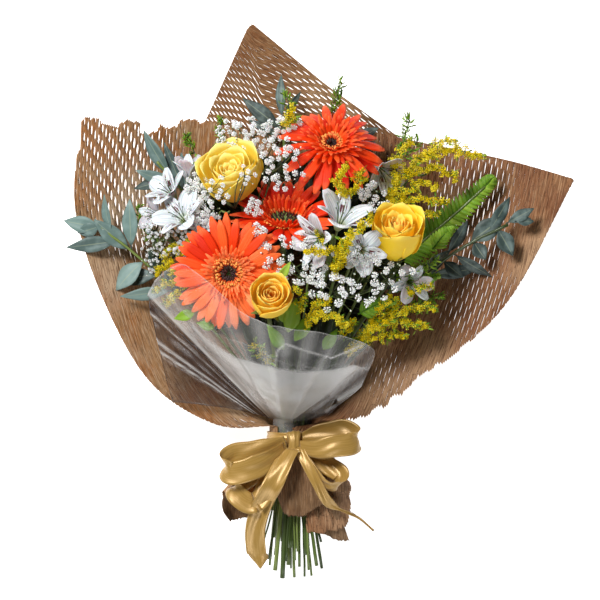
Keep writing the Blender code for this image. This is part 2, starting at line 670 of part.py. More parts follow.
def draw_stems(bundle):
    for name, (line, radii) in bundle.lines().items():
        if name in BABYS_BREATH:
            route, clumps = BABYS_BREATH[name]
            babys_breath(name, line, radii, route[-1], clumps)
        elif name in GOLDENRODS:
            goldenrod(name, line, radii, *GOLDENRODS[name])
        elif name in GREEN_TIPS:
            tip, tip_radii = plume(GREEN_TIPS[name][1:], 1.8, 5.0)
            united(name, [tube(name, line, radii), tube(name + "_tip", tip, tip_radii)], "fern_leaf")
        elif name in FERNS:
            fern(name, line, radii, FERNS[name][1])
        elif name in EUCALYPTUS:
            eucalyptus(name, line, radii, *EUCALYPTUS[name][1:])
        else:
            place(name, tube(name, line, radii), "green_stem")


def centre_on_table():
    """Hangs every piece on one empty and moves it, so that the origin is the footprint's middle."""
    bpy.context.view_layer.update()
    graph = bpy.context.evaluated_depsgraph_get()
    shown = [o for o in bpy.context.scene.objects if o.type == "MESH" and not o.hide_render]
    corners = [o.evaluated_get(graph).matrix_world @ Vector(c) for o in shown for c in o.evaluated_get(graph).bound_box]
    middle = [(min(c[k] for c in corners) + max(c[k] for c in corners)) / 2 for k in (0, 1)]
    root = bpy.data.objects.new("bouquet", None)
    bpy.context.scene.collection.objects.link(root)
    for obj in [o for o in bpy.data.objects if o.type == "MESH"]:
        obj.parent = root
    root.location = (-middle[0], -middle[1], 0)


def main():
    clear_scene()
    bundle = Bundle()
    blooms(bundle)
    sprays(bundle)
    draw_stems(bundle)
    wrap()
    binding()
    centre_on_table()


main()
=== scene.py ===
import math

import bpy
import numpy as np
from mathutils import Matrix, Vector, noise


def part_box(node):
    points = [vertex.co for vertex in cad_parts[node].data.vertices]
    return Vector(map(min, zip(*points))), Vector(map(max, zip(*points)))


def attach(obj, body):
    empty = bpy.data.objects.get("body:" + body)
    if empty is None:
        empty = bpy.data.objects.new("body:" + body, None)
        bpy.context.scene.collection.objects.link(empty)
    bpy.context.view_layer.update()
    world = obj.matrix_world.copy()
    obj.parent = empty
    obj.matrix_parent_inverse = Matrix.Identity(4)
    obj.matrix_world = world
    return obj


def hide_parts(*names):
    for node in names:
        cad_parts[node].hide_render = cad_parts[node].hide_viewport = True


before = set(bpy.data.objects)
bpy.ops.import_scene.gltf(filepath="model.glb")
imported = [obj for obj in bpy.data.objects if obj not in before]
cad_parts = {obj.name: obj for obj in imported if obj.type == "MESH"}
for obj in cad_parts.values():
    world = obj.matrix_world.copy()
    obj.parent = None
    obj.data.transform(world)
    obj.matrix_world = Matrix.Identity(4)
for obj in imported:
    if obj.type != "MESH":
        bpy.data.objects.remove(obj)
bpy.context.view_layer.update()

# %% [markdown]
# # A mixed bouquet in honeycomb kraft paper
#
# Three gerberas, three roses, white alstroemerias, baby's breath, goldenrod, fern and eucalyptus
# are bound at one point, wrapped in clear film and in three sheets of slit kraft paper, and tied
# with a gold satin ribbon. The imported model, loaded above, says where each stem and bloom is.
# Everything below replaces its plain solids by detailed pieces, one kind of flower at a time.
#
# All places are written in millimetres from the tie: x to the right, y towards the blooms and z up
# from the table. The tie is found once, from the band of ribbon round it.

# %% Where the tie is
MM = 0.001
band_low, band_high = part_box("ribbon_band")
TIE = np.array([(band_low.x + band_high.x) / 2, (band_low.y + band_high.y) / 2, 0.0])
TIE_HEIGHT = 26.0  # middle of the bundle above the table
MIDDLE = (7.0, 129.0)  # middle of the picture, from the tie
print("tie at", TIE.round(4), "nodes", len(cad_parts))

# %% [markdown]
# ## Camera, table and light
#
# The bouquet lies on its back, so the camera looks straight down on it from 2.2 m. The table is a
# plain white plane. Light is what a photographer's white tent gives: an even white surround, one
# large panel from the upper left for soft modelling, and a low panel beyond the stems, whose
# reflection makes the film look milky.


# %% Set up the camera, the table and the light
def soft_panel(name, place, target, size, power):
    """A square light panel at a place in metres, turned to face its target."""
    light = bpy.data.lights.new(name, "AREA")
    light.size = size
    light.energy = power
    panel = bpy.data.objects.new(name, light)
    bpy.context.scene.collection.objects.link(panel)
    panel.location = place
    panel.rotation_euler = (Vector(target) - Vector(place)).to_track_quat("-Z", "Y").to_euler()


CAMERA_HEIGHT = 2.2
camera = bpy.data.cameras.new("camera")
camera.lens = 137.0
eye = bpy.data.objects.new("camera", camera)
eye.location = (TIE[0] + MIDDLE[0] * MM, TIE[1] + MIDDLE[1] * MM, CAMERA_HEIGHT)
bpy.context.scene.collection.objects.link(eye)
bpy.context.scene.camera = eye
bpy.context.scene.view_settings.view_transform = "Standard"

world = bpy.data.worlds.new("white_tent")
world.use_nodes = True
world.node_tree.nodes["Background"].inputs["Strength"].default_value = 0.72
bpy.context.scene.world = world
soft_panel("key_panel", (-0.9, 0.9, 1.7), (0, 0, 0.05), 0.6, 50)
soft_panel("stem_side_panel", (0.2, -1.5, 1.1), (0, 0, 0.1), 0.9, 12)


# %% [markdown]
# ## A workbench for finishes
#
# Every finish is a few nodes round one Principled shader. Arithmetic on a value that changes over
# the surface is easier to read as a formula than as wires, so a small class wraps a socket and
# turns + - and * into Math nodes. Any other node comes from one method, which takes its type, its
# settings and its inputs. Colours always go through Mix nodes, because Math would turn them grey.


# %% The workbench
class Field:
    """A number that changes over the surface. Arithmetic on it adds Math nodes."""

    def __init__(self, finish, socket):
        self.finish = finish
        self.socket = socket

    def math(self, operation, *values):
        inputs = dict(enumerate(values))
        return self.finish.node("ShaderNodeMath", {"operation": operation}, inputs)

    def away_from(self, value):
        return (self - value).math("ABSOLUTE", self - value)


def overload(sign, operation):
    """Gives Field an operator and its reflected form, so that 1 - mask works too."""
    setattr(Field, f"__{sign}__", lambda mask, other: mask.math(operation, mask, other))
    setattr(Field, f"__r{sign}__", lambda mask, other: mask.math(operation, other, mask))


overload("add", "ADD")
overload("sub", "SUBTRACT")
overload("mul", "MULTIPLY")


def srgb(red, green, blue):
    """A colour as a paint card gives it, 0 to 255, for a shader."""
    shares = [channel / 255 for channel in (red, green, blue)]
    linear = [s / 12.92 if s <= 0.04045 else ((s + 0.055) / 1.055) ** 2.4 for s in shares]
    return (*linear, 1.0)


class Finish:
    """One material: a Principled shader and the nodes that feed it."""

    def __init__(self, name, roughness=0.5, **constants):
        self.material = bpy.data.materials.new(name)
        self.material.use_nodes = True
        self.tree = self.material.node_tree
        self.shader = self.tree.nodes["Principled BSDF"]
        self.shader.inputs["Roughness"].default_value = roughness
        for key, value in constants.items():
            self.shader.inputs[key.replace("_", " ")].default_value = value

    def node(self, kind, settings=None, inputs=None, output=0):
        made = self.tree.nodes.new(kind)
        for key, value in (settings or {}).items():
            if key == "stops":
                self.fill_ramp(made.color_ramp, value)
            else:
                setattr(made, key, value)
        for key, value in (inputs or {}).items():
            self.feed(made.inputs[key], value)
        return Field(self, made.outputs[output])

    def feed(self, socket, value):
        """Links a field or sets a constant. A colour is given as a paint card gives it."""
        if isinstance(value, Field):
            self.tree.links.new(value.socket, socket)
        else:
            socket.default_value = srgb(*value) if socket.type == "RGBA" else value

    def fill_ramp(self, ramp, stops):
        while len(ramp.elements) < len(stops):
            ramp.elements.new(0.5)
        for element, (place, colour) in zip(ramp.elements, stops):
            element.position = place
            element.color = srgb(*colour)

    def attribute(self, name):
        return self.node("ShaderNodeAttribute", {"attribute_name": name}, output=2)

    def uv(self):
        return self.node("ShaderNodeUVMap")

    def across(self, axis=0):
        return self.node("ShaderNodeSeparateXYZ", None, {0: self.uv()}, axis)

    def along(self):
        return self.across(1)

    def cloudy(self, place, scale, detail):
        inputs = {"Vector": place, "Scale": scale, "Detail": detail}
        return self.node("ShaderNodeTexNoise", None, inputs)

    def uv_noise(self, stretch, scale=1.0, detail=3.0):
        """Noise on the piece's own UV map, squeezed by stretch in each direction."""
        spread = self.node("ShaderNodeMapping", None, {0: self.uv(), 3: (*stretch, 1)})
        return self.cloudy(spread, scale, detail)

    def noise(self, scale, detail=3.0):
        """Noise fixed to the object, with scale in patches per metre."""
        return self.cloudy(self.node("ShaderNodeTexCoord", output=3), scale, detail)

    def ramp(self, value, *stops):
        return self.node("ShaderNodeValToRGB", {"stops": stops}, {0: value})

    def toned(self, *stops):
        """A colour that follows each point's tone."""
        return self.ramp(self.attribute("tone"), *stops)

    def mix(self, share, first, second):
        return self.node("ShaderNodeMix", {"data_type": "RGBA"}, {0: share, 6: first, 7: second}, 2)

    def band(self, value, low, high):
        """0 below low, 1 above high, and smooth between."""
        settings = {"interpolation_type": "SMOOTHSTEP"}
        return self.node("ShaderNodeMapRange", settings, {0: value, 1: low, 2: high})

    def tint(self, colour, value, low, high, share, other):
        """Lets another colour in where a value runs from low to high."""
        return self.mix(self.band(value, low, high) * share, colour, other)

    def colour(self, value):
        self.feed(self.shader.inputs["Base Color"], value)

    def glow(self, value, strength):
        """Painted glow: the surface gives off light of its own. On petals it stands in for light
        that thin petals pass on from behind, which a closed mesh would hide; on crowded florets it
        brightens the shade that they cast on each other.
        """
        self.feed(self.shader.inputs["Emission Color"], value)
        self.shader.inputs["Emission Strength"].default_value = strength

    def rough(self, value):
        self.feed(self.shader.inputs["Roughness"], value)

    def bump(self, height, distance, strength=1.0):
        inputs = {"Strength": strength, "Distance": distance * MM, "Height": height}
        self.feed(self.shader.inputs["Normal"], self.node("ShaderNodeBump", None, inputs))


# %% [markdown]
# ## The table
#
# A white plane, wide enough to fill every view. A little light of its own keeps it white under the
# paper, as a lit acrylic table does.

# %% Lay the table
bpy.ops.object.select_all(action="DESELECT")
bpy.ops.mesh.primitive_plane_add(size=8, location=(0, 0, -0.0004))
table = bpy.context.object
table.name = "table"
white_table = Finish("white_table", 0.9, Specular_IOR_Level=0.0)
white_table.colour((247, 247, 247))
white_table.glow((255, 255, 255), 0.9)
table.data.materials.append(white_table.material)


# %% [markdown]
# ## Shapes in numbers
#
# A bouquet is a few shapes repeated hundreds of times. A petal, leaf or floret is modelled once
# with edit-mode tools and then read into arrays, and a pile collects its copies, each bent, turned
# and sized a little differently, as one mesh. Each point also gets a tone, a number from 0 to 1
# that its finish turns into a shade, so neighbours differ as they do in nature. On some pieces the
# tone also carries painted shade: the gerbera in the middle, shaded alstroemerias and the dark film.


# %% Arrays, placements and piles
def table(text):
    """Reads places under their names: commas part a row's groups, and spaces its numbers."""
    found = {}
    for line in text.replace(",\n", ", ").split("\n"):
        if line.endswith(":"):
            rows = found.setdefault(line[:-1], [])
        elif line:
            rows.append([tuple(map(float, group.split())) for group in line.split(",")])
    return found


def unit(vector):
    vector = np.asarray(vector, float)
    return vector / max(np.linalg.norm(vector), 1e-9)


UP = np.array([0.0, 0.0, 1.0])


def spoke(angle):
    """The way out from the middle of a bloom, at an angle round its axis."""
    return np.array([math.cos(angle), math.sin(angle), 0.0])


def local(placed, point):
    """Where a point of a bloom's own frame lies on the bouquet."""
    return placed[:3, :3] @ np.asarray(point, float) + placed[:3, 3]


def lengths(line):
    """How far along a line each of its points is."""
    return np.concatenate([[0], np.cumsum(np.linalg.norm(np.diff(line, axis=0), axis=1))])


def normalised(vectors):
    return vectors / np.maximum(np.linalg.norm(vectors, axis=-1), 1e-9)[..., None]


def aimed(origin, along, up=(0, 0, 1), size=1.0):
    """A 4 x 4 placement: local Y runs along, local Z looks up as far as it can."""
    y = unit(along)
    x = np.cross(y, up)
    if np.linalg.norm(x) < 1e-4:
        x = np.cross(y, (0.3, 1, 0.2))
    x = unit(x)
    placed = np.eye(4)
    placed[:3, :3] = np.stack([x, y, np.cross(x, y)], axis=1) * np.asarray(size, float)
    placed[:3, 3] = origin
    return placed


def facing_frame(origin, facing):
    """A placement whose local Z is the way that a bloom looks."""
    z = unit(facing)
    x = unit(np.cross((0, 1, 0), z))
    placed = np.eye(4)
    placed[:3, :3] = np.stack([x, np.cross(z, x), z], axis=1)
    placed[:3, 3] = origin
    return placed


GOLDEN = 2.39996  # the turn from one seed or petal of a spiral to the next, in radians


def curved(points, turn, twist=0.0, sway=0.0):
    """Bends points that lie along Y from the origin: turn lifts the tip, in radians."""
    length = max(points[:, 1].max(), 1e-6)
    share = np.clip(points[:, 1] / length, 0, 1)
    out = points.copy()
    if abs(twist) > 1e-6:
        angle = twist * share
        out[:, 0] = points[:, 0] * np.cos(angle) - points[:, 2] * np.sin(angle)
        out[:, 2] = points[:, 0] * np.sin(angle) + points[:, 2] * np.cos(angle)
    if abs(turn) > 1e-6:
        angle = turn * share
        height = out[:, 2].copy()
        out[:, 1] = length / turn * np.sin(angle) - height * np.sin(angle)
        out[:, 2] = length / turn * (1 - np.cos(angle)) + height * np.cos(angle)
    out[:, 0] += sway * length * share**2
    return out


class Shape:
    """A mesh as arrays: points in millimetres, corners, sides per face, and UVs per corner."""

    def __init__(self, points, corners, sides, uvs):
        self.points = np.asarray(points, float)
        self.corners = np.asarray(corners, int)
        self.sides = np.asarray(sides, int)
        self.uvs = np.asarray(uvs, float)

    def bent(self, turn, twist=0.0, sway=0.0):
        return Shape(curved(self.points, turn, twist, sway), self.corners, self.sides, self.uvs)


class Pile:
    """Many copies gathered into one mesh."""

    def __init__(self):
        self.points, self.corners, self.sides, self.uvs, self.tones = [], [], [], [], []
        self.count = 0

    def add(self, shape, placed=None, tone=0.5):
        points = shape.points
        if placed is not None:
            points = points @ placed[:3, :3].T + placed[:3, 3]
        self.points.append(points)
        self.corners.append(shape.corners + self.count)
        self.sides.append(shape.sides)
        self.uvs.append(shape.uvs)
        self.tones.append(np.broadcast_to(np.asarray(tone, float), (len(points),)))
        self.count += len(points)

    def piece(self, name, finish, slot, replaced=()):
        """Turns the pile into one object that stands for the CAD nodes named in replaced."""
        mesh = bpy.data.meshes.new(name)
        points = np.concatenate(self.points) * MM + TIE
        corners = np.concatenate(self.corners)
        sides = np.concatenate(self.sides)
        mesh.vertices.add(len(points))
        mesh.vertices.foreach_set("co", points.astype(np.float32).ravel())
        mesh.loops.add(len(corners))
        mesh.loops.foreach_set("vertex_index", corners.astype(np.int32))
        mesh.polygons.add(len(sides))
        starts = np.concatenate([[0], np.cumsum(sides)[:-1]])
        mesh.polygons.foreach_set("loop_start", starts.astype(np.int32))
        mesh.polygons.foreach_set("use_smooth", np.full(len(sides), True))
        mesh.update(calc_edges=True)
        layer = mesh.uv_layers.new(name="UVMap")
        layer.data.foreach_set("uv", np.concatenate(self.uvs).astype(np.float32).ravel())
        tone = mesh.attributes.new("tone", "FLOAT", "POINT")
        tone.data.foreach_set("value", np.concatenate(self.tones).astype(np.float32))
        mesh.materials.append(finish.material)
        made = bpy.data.objects.new(name, mesh)
        bpy.context.scene.collection.objects.link(made)
        return settled(made, replaced)


def settled(made, replaced=()):
    """Hangs a finished piece on the bouquet's one body and hides the CAD nodes that it replaces."""
    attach(made, "root")
    if replaced:
        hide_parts(*replaced)
    triangles = sum(len(p.vertices) - 2 for p in made.data.polygons)
    print(f"{made.name}: {triangles} triangles, replaces {len(replaced)}")
    return made


def read_shape(model):
    """Applies a modelled shape's modifiers, reads it into arrays and deletes the model."""
    bpy.ops.object.mode_set(mode="OBJECT")
    for modifier in list(model.modifiers):
        bpy.ops.object.modifier_apply(modifier=modifier.name)
    mesh = model.data
    points = np.array([v.co for v in mesh.vertices], float) / MM
    corners = np.array([loop.vertex_index for loop in mesh.loops], int)
    sides = np.array([len(p.vertices) for p in mesh.polygons], int)
    uvs = np.array([spot.uv for spot in mesh.uv_layers.active.data], float)
    bpy.data.objects.remove(model)
    return Shape(points, corners, sides, uvs)


# %% [markdown]
# ## One blade, many petals
#
# Every petal and leaf starts as the same thing: a flat grid that runs along Y, shaped row by row in
# edit mode. Each row is picked by its place, scaled to the petal's width there and lifted to its
# profile. Creases come from lifting whole columns. A thin Solidify closes it, so that it has two
# sides and an edge, as a real petal has.


# %% Model a blade
def new_model(add, **settings):
    """Adds a primitive with nothing else selected, and opens it in edit mode, all selected."""
    bpy.ops.object.select_all(action="DESELECT")
    add(**settings)
    bpy.ops.object.mode_set(mode="EDIT")
    bpy.ops.mesh.select_all(action="SELECT")
    return bpy.context.object


def pick(model, wanted):
    """Selects the points that a test on their place accepts, and nothing else."""
    bpy.ops.object.mode_set(mode="OBJECT")
    for face in model.data.polygons:
        face.select = False
    for edge in model.data.edges:
        edge.select = False
    for point, chosen in zip(model.data.vertices, wanted):
        point.select = bool(chosen)
    bpy.ops.object.mode_set(mode="EDIT")
    bpy.ops.mesh.select_mode(type="VERT")


def blade(name, length, width, rows, columns=4, creases=(), thickness=0.35, tip=()):
    """rows: (share of the width, lift in mm) from base to tip; creases: lift in mm per column.

    tip slides the last row's points along the blade, in mm per column, for a notched or pointed end.
    """
    grid = bpy.ops.mesh.primitive_grid_add
    model = new_model(grid, x_subdivisions=columns, y_subdivisions=len(rows) - 1, size=1)
    model.name = name
    bpy.ops.transform.resize(value=(width * MM, length * MM, 1), center_override=(0, 0, 0))
    bpy.ops.transform.translate(value=(0, length * MM / 2, 0))
    bpy.ops.object.mode_set(mode="OBJECT")
    start = np.array([v.co for v in model.data.vertices])
    row_of = np.rint(start[:, 1] / (length * MM) * (len(rows) - 1)).astype(int)
    column_of = np.rint((start[:, 0] / (width * MM) + 0.5) * columns).astype(int)
    for column, lift in enumerate(creases):
        pick(model, column_of == column)
        bpy.ops.transform.translate(value=(0, 0, lift * MM))
    for column, slide in enumerate(tip):
        pick(model, (column_of == column) & (row_of == len(rows) - 1))
        bpy.ops.transform.translate(value=(0, slide * MM, 0))
    for row, (share, lift) in enumerate(rows):
        pick(model, row_of == row)
        bpy.ops.transform.resize(value=(share, 1, share), center_override=(0, 0, 0))
        bpy.ops.transform.translate(value=(0, 0, lift * MM))
    bpy.ops.object.mode_set(mode="OBJECT")
    bpy.ops.object.modifier_add(type="SOLIDIFY")
    model.modifiers[-1].thickness = thickness * MM
    model.modifiers[-1].offset = 0
    return read_shape(model)


def catmull(points, steps):
    """Points on one smooth curve through the given ones, with steps spans between each two."""
    ps = [np.asarray(p, float) for p in points]
    ends = [2 * ps[0] - ps[1], *ps, 2 * ps[-1] - ps[-2]]
    line = []
    for a, b, c, d in zip(ends, ends[1:], ends[2:], ends[3:]):
        for k in range(steps):
            t = k / steps
            line.append(
                0.5
                * (
                    2 * b + (c - a) * t + (2 * a - 5 * b + 4 * c - d) * t**2
                    + (3 * b - a - 3 * c + d) * t**3
                )
            )
    return np.array([*line, ps[-1]])


def tube(line, radii, sides=6):
    """A round closed tube along a line, with its UVs running round and along in millimetres."""
    line = np.asarray(line, float)
    radii = np.broadcast_to(np.asarray(radii, float), (len(line),))
    ways = normalised(np.gradient(line, axis=0))
    side = unit(np.cross(ways[0], (0.31, 0.2, 0.93)))
    rings = []
    for point, way, radius in zip(line, ways, radii):
        side = unit(side - way * (side @ way))
        other = np.cross(way, side)
        turns = np.linspace(0, 2 * math.pi, sides, endpoint=False)
        rings.append(
            point + radius * (np.cos(turns)[:, None] * side + np.sin(turns)[:, None] * other)
        )
    count = len(line)
    points = np.concatenate([*rings, line[:1], line[-1:]])
    length = lengths(line)
    corners, face_sides, uvs = [], [], []
    for k in range(count - 1):
        for i in range(sides):
            j = (i + 1) % sides
            corners += [k * sides + i, k * sides + j, (k + 1) * sides + j, (k + 1) * sides + i]
            uvs += [(i, length[k]), (i + 1, length[k]), (i + 1, length[k + 1]), (i, length[k + 1])]
            face_sides.append(4)
    for i in range(sides):
        j = (i + 1) % sides
        corners += [
            j, i, count * sides, (count - 1) * sides + i, (count - 1) * sides + j, count * sides + 1
        ]
        uvs += [(0, 0)] * 6
        face_sides += [3, 3]
    return Shape(points, corners, face_sides, uvs)


# %% [markdown]
# ## Honeycomb kraft paper
#
# The wrap is kraft paper cut with short slits, each row half a step off the next. Pulled, the slits
# gape into lenses and the strips between them tilt, which gives the honeycomb look; where the paper
# isn't pulled they stay closed, as fine lines. It could be one flat texture with holes, but then the
# strips would not tilt or catch light, so the slits are real: a lattice of points follows the slit
# rows, and at each slit its two lips are pulled apart and tipped out of the sheet.
#
# The shape of each sheet comes from guide columns, from the skirt below the tie, round the neck and
# up to the free edge, the same as the CAD sheet's. The lattice is laid out flat in millimetres and
# mapped onto that surface, so a slit has its real length everywhere.

# %% Guide columns of the sheets
NECK = 10.0  # half the length of the straight part of the wrap at the tie
SIDE_RADIUS = 22.0
BACK_RADIUS = 23.2
INNER_FILM_RADIUS = 19.7
OUTER_FILM_RADIUS = 20.8
# The back sheet's middle lies 0.9 mm above the table, which leaves room for its tipped strips.
GUIDES = table("""
right:
6 -64 4.6, 4 -30 6, -82, 5 50 5, 11 120 5, 32 215 5, 70 293 6
34 -62 9, 22 -30 14, -35, 22 46 14, 44 113 13, 80 205 11, 120 281 10
56 -46 22, 38 -26 26, 5, 44 38 27, 76 98 28, 117 182 26, 165 271 22
46 -92 40, 34 -34 46, 45, 54 28 42, 96 78 48, 158 156 48, 212 259 42
-14 -88 51, -6 -40 51, 95, 60 14 52, 119 52 66, 198 124 76, 264 242 66
left:
-4 -66 2.6, -3 -30 4, 262, -4 50 2.8, -8 120 2.6, -12 210 2.6, -15 285 6
-34 -64 6, -24 -30 10, 218, -24 46 12, -42 113 9, -60 212 7, -60 297 9
-60 -70 16, -38 -32 22, 185, -42 38 25, -76 98 25, -105 206 20, -105 303 18
-66 -52 34, -42 -26 38, 155, -60 26 39, -109 82 44, -151 202 44, -150 301 38
-40 -78 47, -28 -34 47, 130, -76 13 50, -144 66 66, -200 198 72, -199 302 60
back:
-30 -70 0.9, -18 -30 1, 222, -21 46 0.9, -48 90 0.9, -92 160 0.9, -128 225 0.9
-18 -74 0.9, -11 -30 0.9, 240, -13 50 0.9, -30 106 0.9, -60 205 0.9, -83 304 0.9
-6 -76 0.9, -4 -30 0.9, 258, -5 52 0.9, -12 115 0.9, -28 230 0.9, -41 397 0.9
8 -76 0.9, 4 -30 0.9, 282, 5 52 0.9, 12 112 0.9, 20 220 0.9, 30 338 0.9
20 -74 0.9, 11 -30 0.9, 300, 13 50 0.9, 32 102 0.9, 60 195 0.9, 98 289 0.9
32 -70 0.9, 18 -30 1, 318, 21 46 0.9, 50 88 0.9, 96 160 0.9, 146 246 0.9
inner:
160, -46 24 44, -80 30 58, -112 34 72
152, -46 36 52, -88 72 70, -127 98 84
138, -40 42 68, -86 94 100, -130 139 112
118, -28 38 84, -66 92 152, -93 160 184
100, -12 32 92, -34 76 160, -46 118 184
80, 4 30 92, 0 68 156, -4 104 186
62, 16 30 86, 26 66 144, 40 98 172
42, 28 28 70, 48 58 108, 74 84 128
24, 33 22 54, 46 34 76, 64 50 96
outer:
124, -30 36 98, -60 74 156, -84 108 178
104, -12 27 104, -26 56 158, -34 86 188
80, 4 25 104, 4 46 150, 8 70 178
56, 19 26 98, 30 50 140, 44 72 168
36, 33 26 80, 46 48 112, 62 68 134
""")


# %% A sheet surface from its guides
def neck_point(degrees, radius, y):
    turn = math.radians(degrees)
    return np.array([radius * math.cos(turn), y, TIE_HEIGHT + radius * math.sin(turn)])


def straight(points, steps):
    """Points on straight lines through the given ones, for an edge with real corners."""
    ps = np.array(points, float)
    shares = (np.arange(steps) / steps)[:, None]
    between = ps[:-1, None] + (ps[1:] - ps[:-1])[:, None] * shares
    return np.concatenate([between.reshape(-1, ps.shape[1]), ps[-1:]])


def sheet_surface(guides, radius, neck=(-NECK, NECK), across=8, along=8, cornered=False):
    """A fine grid of points (columns, rows, 3) through the guide columns, and the row of the tie."""
    spread = straight if cornered else catmull
    bands = []
    waist = 1
    for spots in zip(*guides):
        if len(spots[0]) == 3:
            bands.append(spread(spots, across))
        else:
            turns = catmull(spots, across)[:, 0]
            waist = len(bands) + 1
            bands += [np.array([neck_point(turn, radius, y) for turn in turns]) for y in neck]
    columns = []
    for column in zip(*bands):
        skirt = catmull(column[:waist], along) if waist > 1 else np.array([column[0]])
        columns.append(np.concatenate([skirt, catmull(column[waist:], along)]))
    tie_row = along * (waist - 1) if waist > 1 else 0
    return np.array(columns), tie_row


class FlatMap:
    """Maps flat places on a sheet, (s across, t up from the tie) in mm, to its surface."""

    def __init__(self, grid, tie_row):
        spans = np.linalg.norm(np.diff(grid, axis=0), axis=2)
        reach = np.concatenate([np.zeros((1, grid.shape[1])), np.cumsum(spans, axis=0)])
        self.widths = reach[-1]
        even = np.empty_like(grid)
        stations = np.linspace(0, 1, len(grid))
        for row in range(grid.shape[1]):
            share = reach[:, row] / reach[-1, row]
            for k in range(3):
                even[:, row, k] = np.interp(stations, share, grid[:, row, k])
        self.grid = even
        steps = np.linalg.norm(np.diff(even, axis=1), axis=2)
        rise = np.concatenate([np.zeros((len(even), 1)), np.cumsum(steps, axis=1)], axis=1)
        self.rise = rise - rise[:, tie_row : tie_row + 1]
        self.mean = self.rise.mean(axis=0)
        self.rows = np.arange(even.shape[1])
        self.area = 0.0
        left, right = even[1:, :-1], even[:-1, 1:]
        for a, b, c in ((even[:-1, :-1], left, right), (even[1:, 1:], right, left)):
            self.area += np.linalg.norm(np.cross(b - a, c - a), axis=2).sum() / 2

    def place(self, s, t):
        """Surface points for flat places, and how far outside the sheet each one is, in mm."""
        last = len(self.grid) - 1
        guess = t
        for _ in range(4):
            row = np.interp(guess, self.mean, self.rows)
            width = np.interp(row, self.rows, self.widths)
            share = np.clip(0.5 + s / width, 0, 1)
            column = share * last
            low = np.clip(column.astype(int), 0, last - 1)
            part = column - low
            top = self.rise[low, -1] * (1 - part) + self.rise[low + 1, -1] * part
            base = self.rise[low, 0] * (1 - part) + self.rise[low + 1, 0] * part
            guess = np.where(t > 0, t / top * self.mean[-1], t / base * self.mean[0])
        outside = np.maximum.reduce([np.abs(s) - width / 2, t - top, base - t])
        row = np.clip(row, 0, len(self.rows) - 1.001)
        r = row.astype(int)
        q = (row - r)[..., None]
        p = part[..., None]
        g = self.grid
        near, far = (g[low, k] * (1 - p) + g[low + 1, k] * p for k in (r, r + 1))
        return near * (1 - q) + far * q, outside


def grid_quads(count, width, closed=False):
    """Corners of the faces of a grid of points; a closed one joins its last row to its first."""
    index = np.arange(count * width).reshape(count, width)
    here, ahead = (index, np.roll(index, -1, axis=0)) if closed else (index[:-1], index[1:])
    corners = [here[:, :-1], ahead[:, :-1], ahead[:, 1:], here[:, 1:]]
    return np.stack(corners, axis=-1).reshape(-1, 4)


def quad_shape(points, quads, uvs):
    quads = quads.reshape(-1, 4)
    sides = np.full(len(quads), 4)
    return Shape(points.reshape(-1, 3), quads.ravel(), sides, uvs.reshape(-1, 2)[quads.ravel()])


# %% Cut and open the slits
STEP = 2.2  # between lattice points along a slit: five make a slit, three the bridge after it
SLIT_STEPS = 5
PITCH_STEPS = 8
ROW = 3.6  # between slit rows
OPENING = 1.05  # how far each lip of a fully open slit moves
TILT = 0.95  # how far each lip tips out of the sheet
SHUT = 0.06  # slits that gape less than this lie shut and don't show
EDGE = 1.5  # paper left whole along the edge


def openness(points, spots, least):
    """How far slits gape at each point, from round spots (x, y, radius, share)."""
    total = np.full(points.shape[:-1], least)
    for x, y, radius, share in spots:
        far = ((points[..., 0] - x) ** 2 + (points[..., 1] - y) ** 2) / radius**2
        total = np.maximum(total, share * np.exp(-far))
    return np.clip(total, 0, 1)


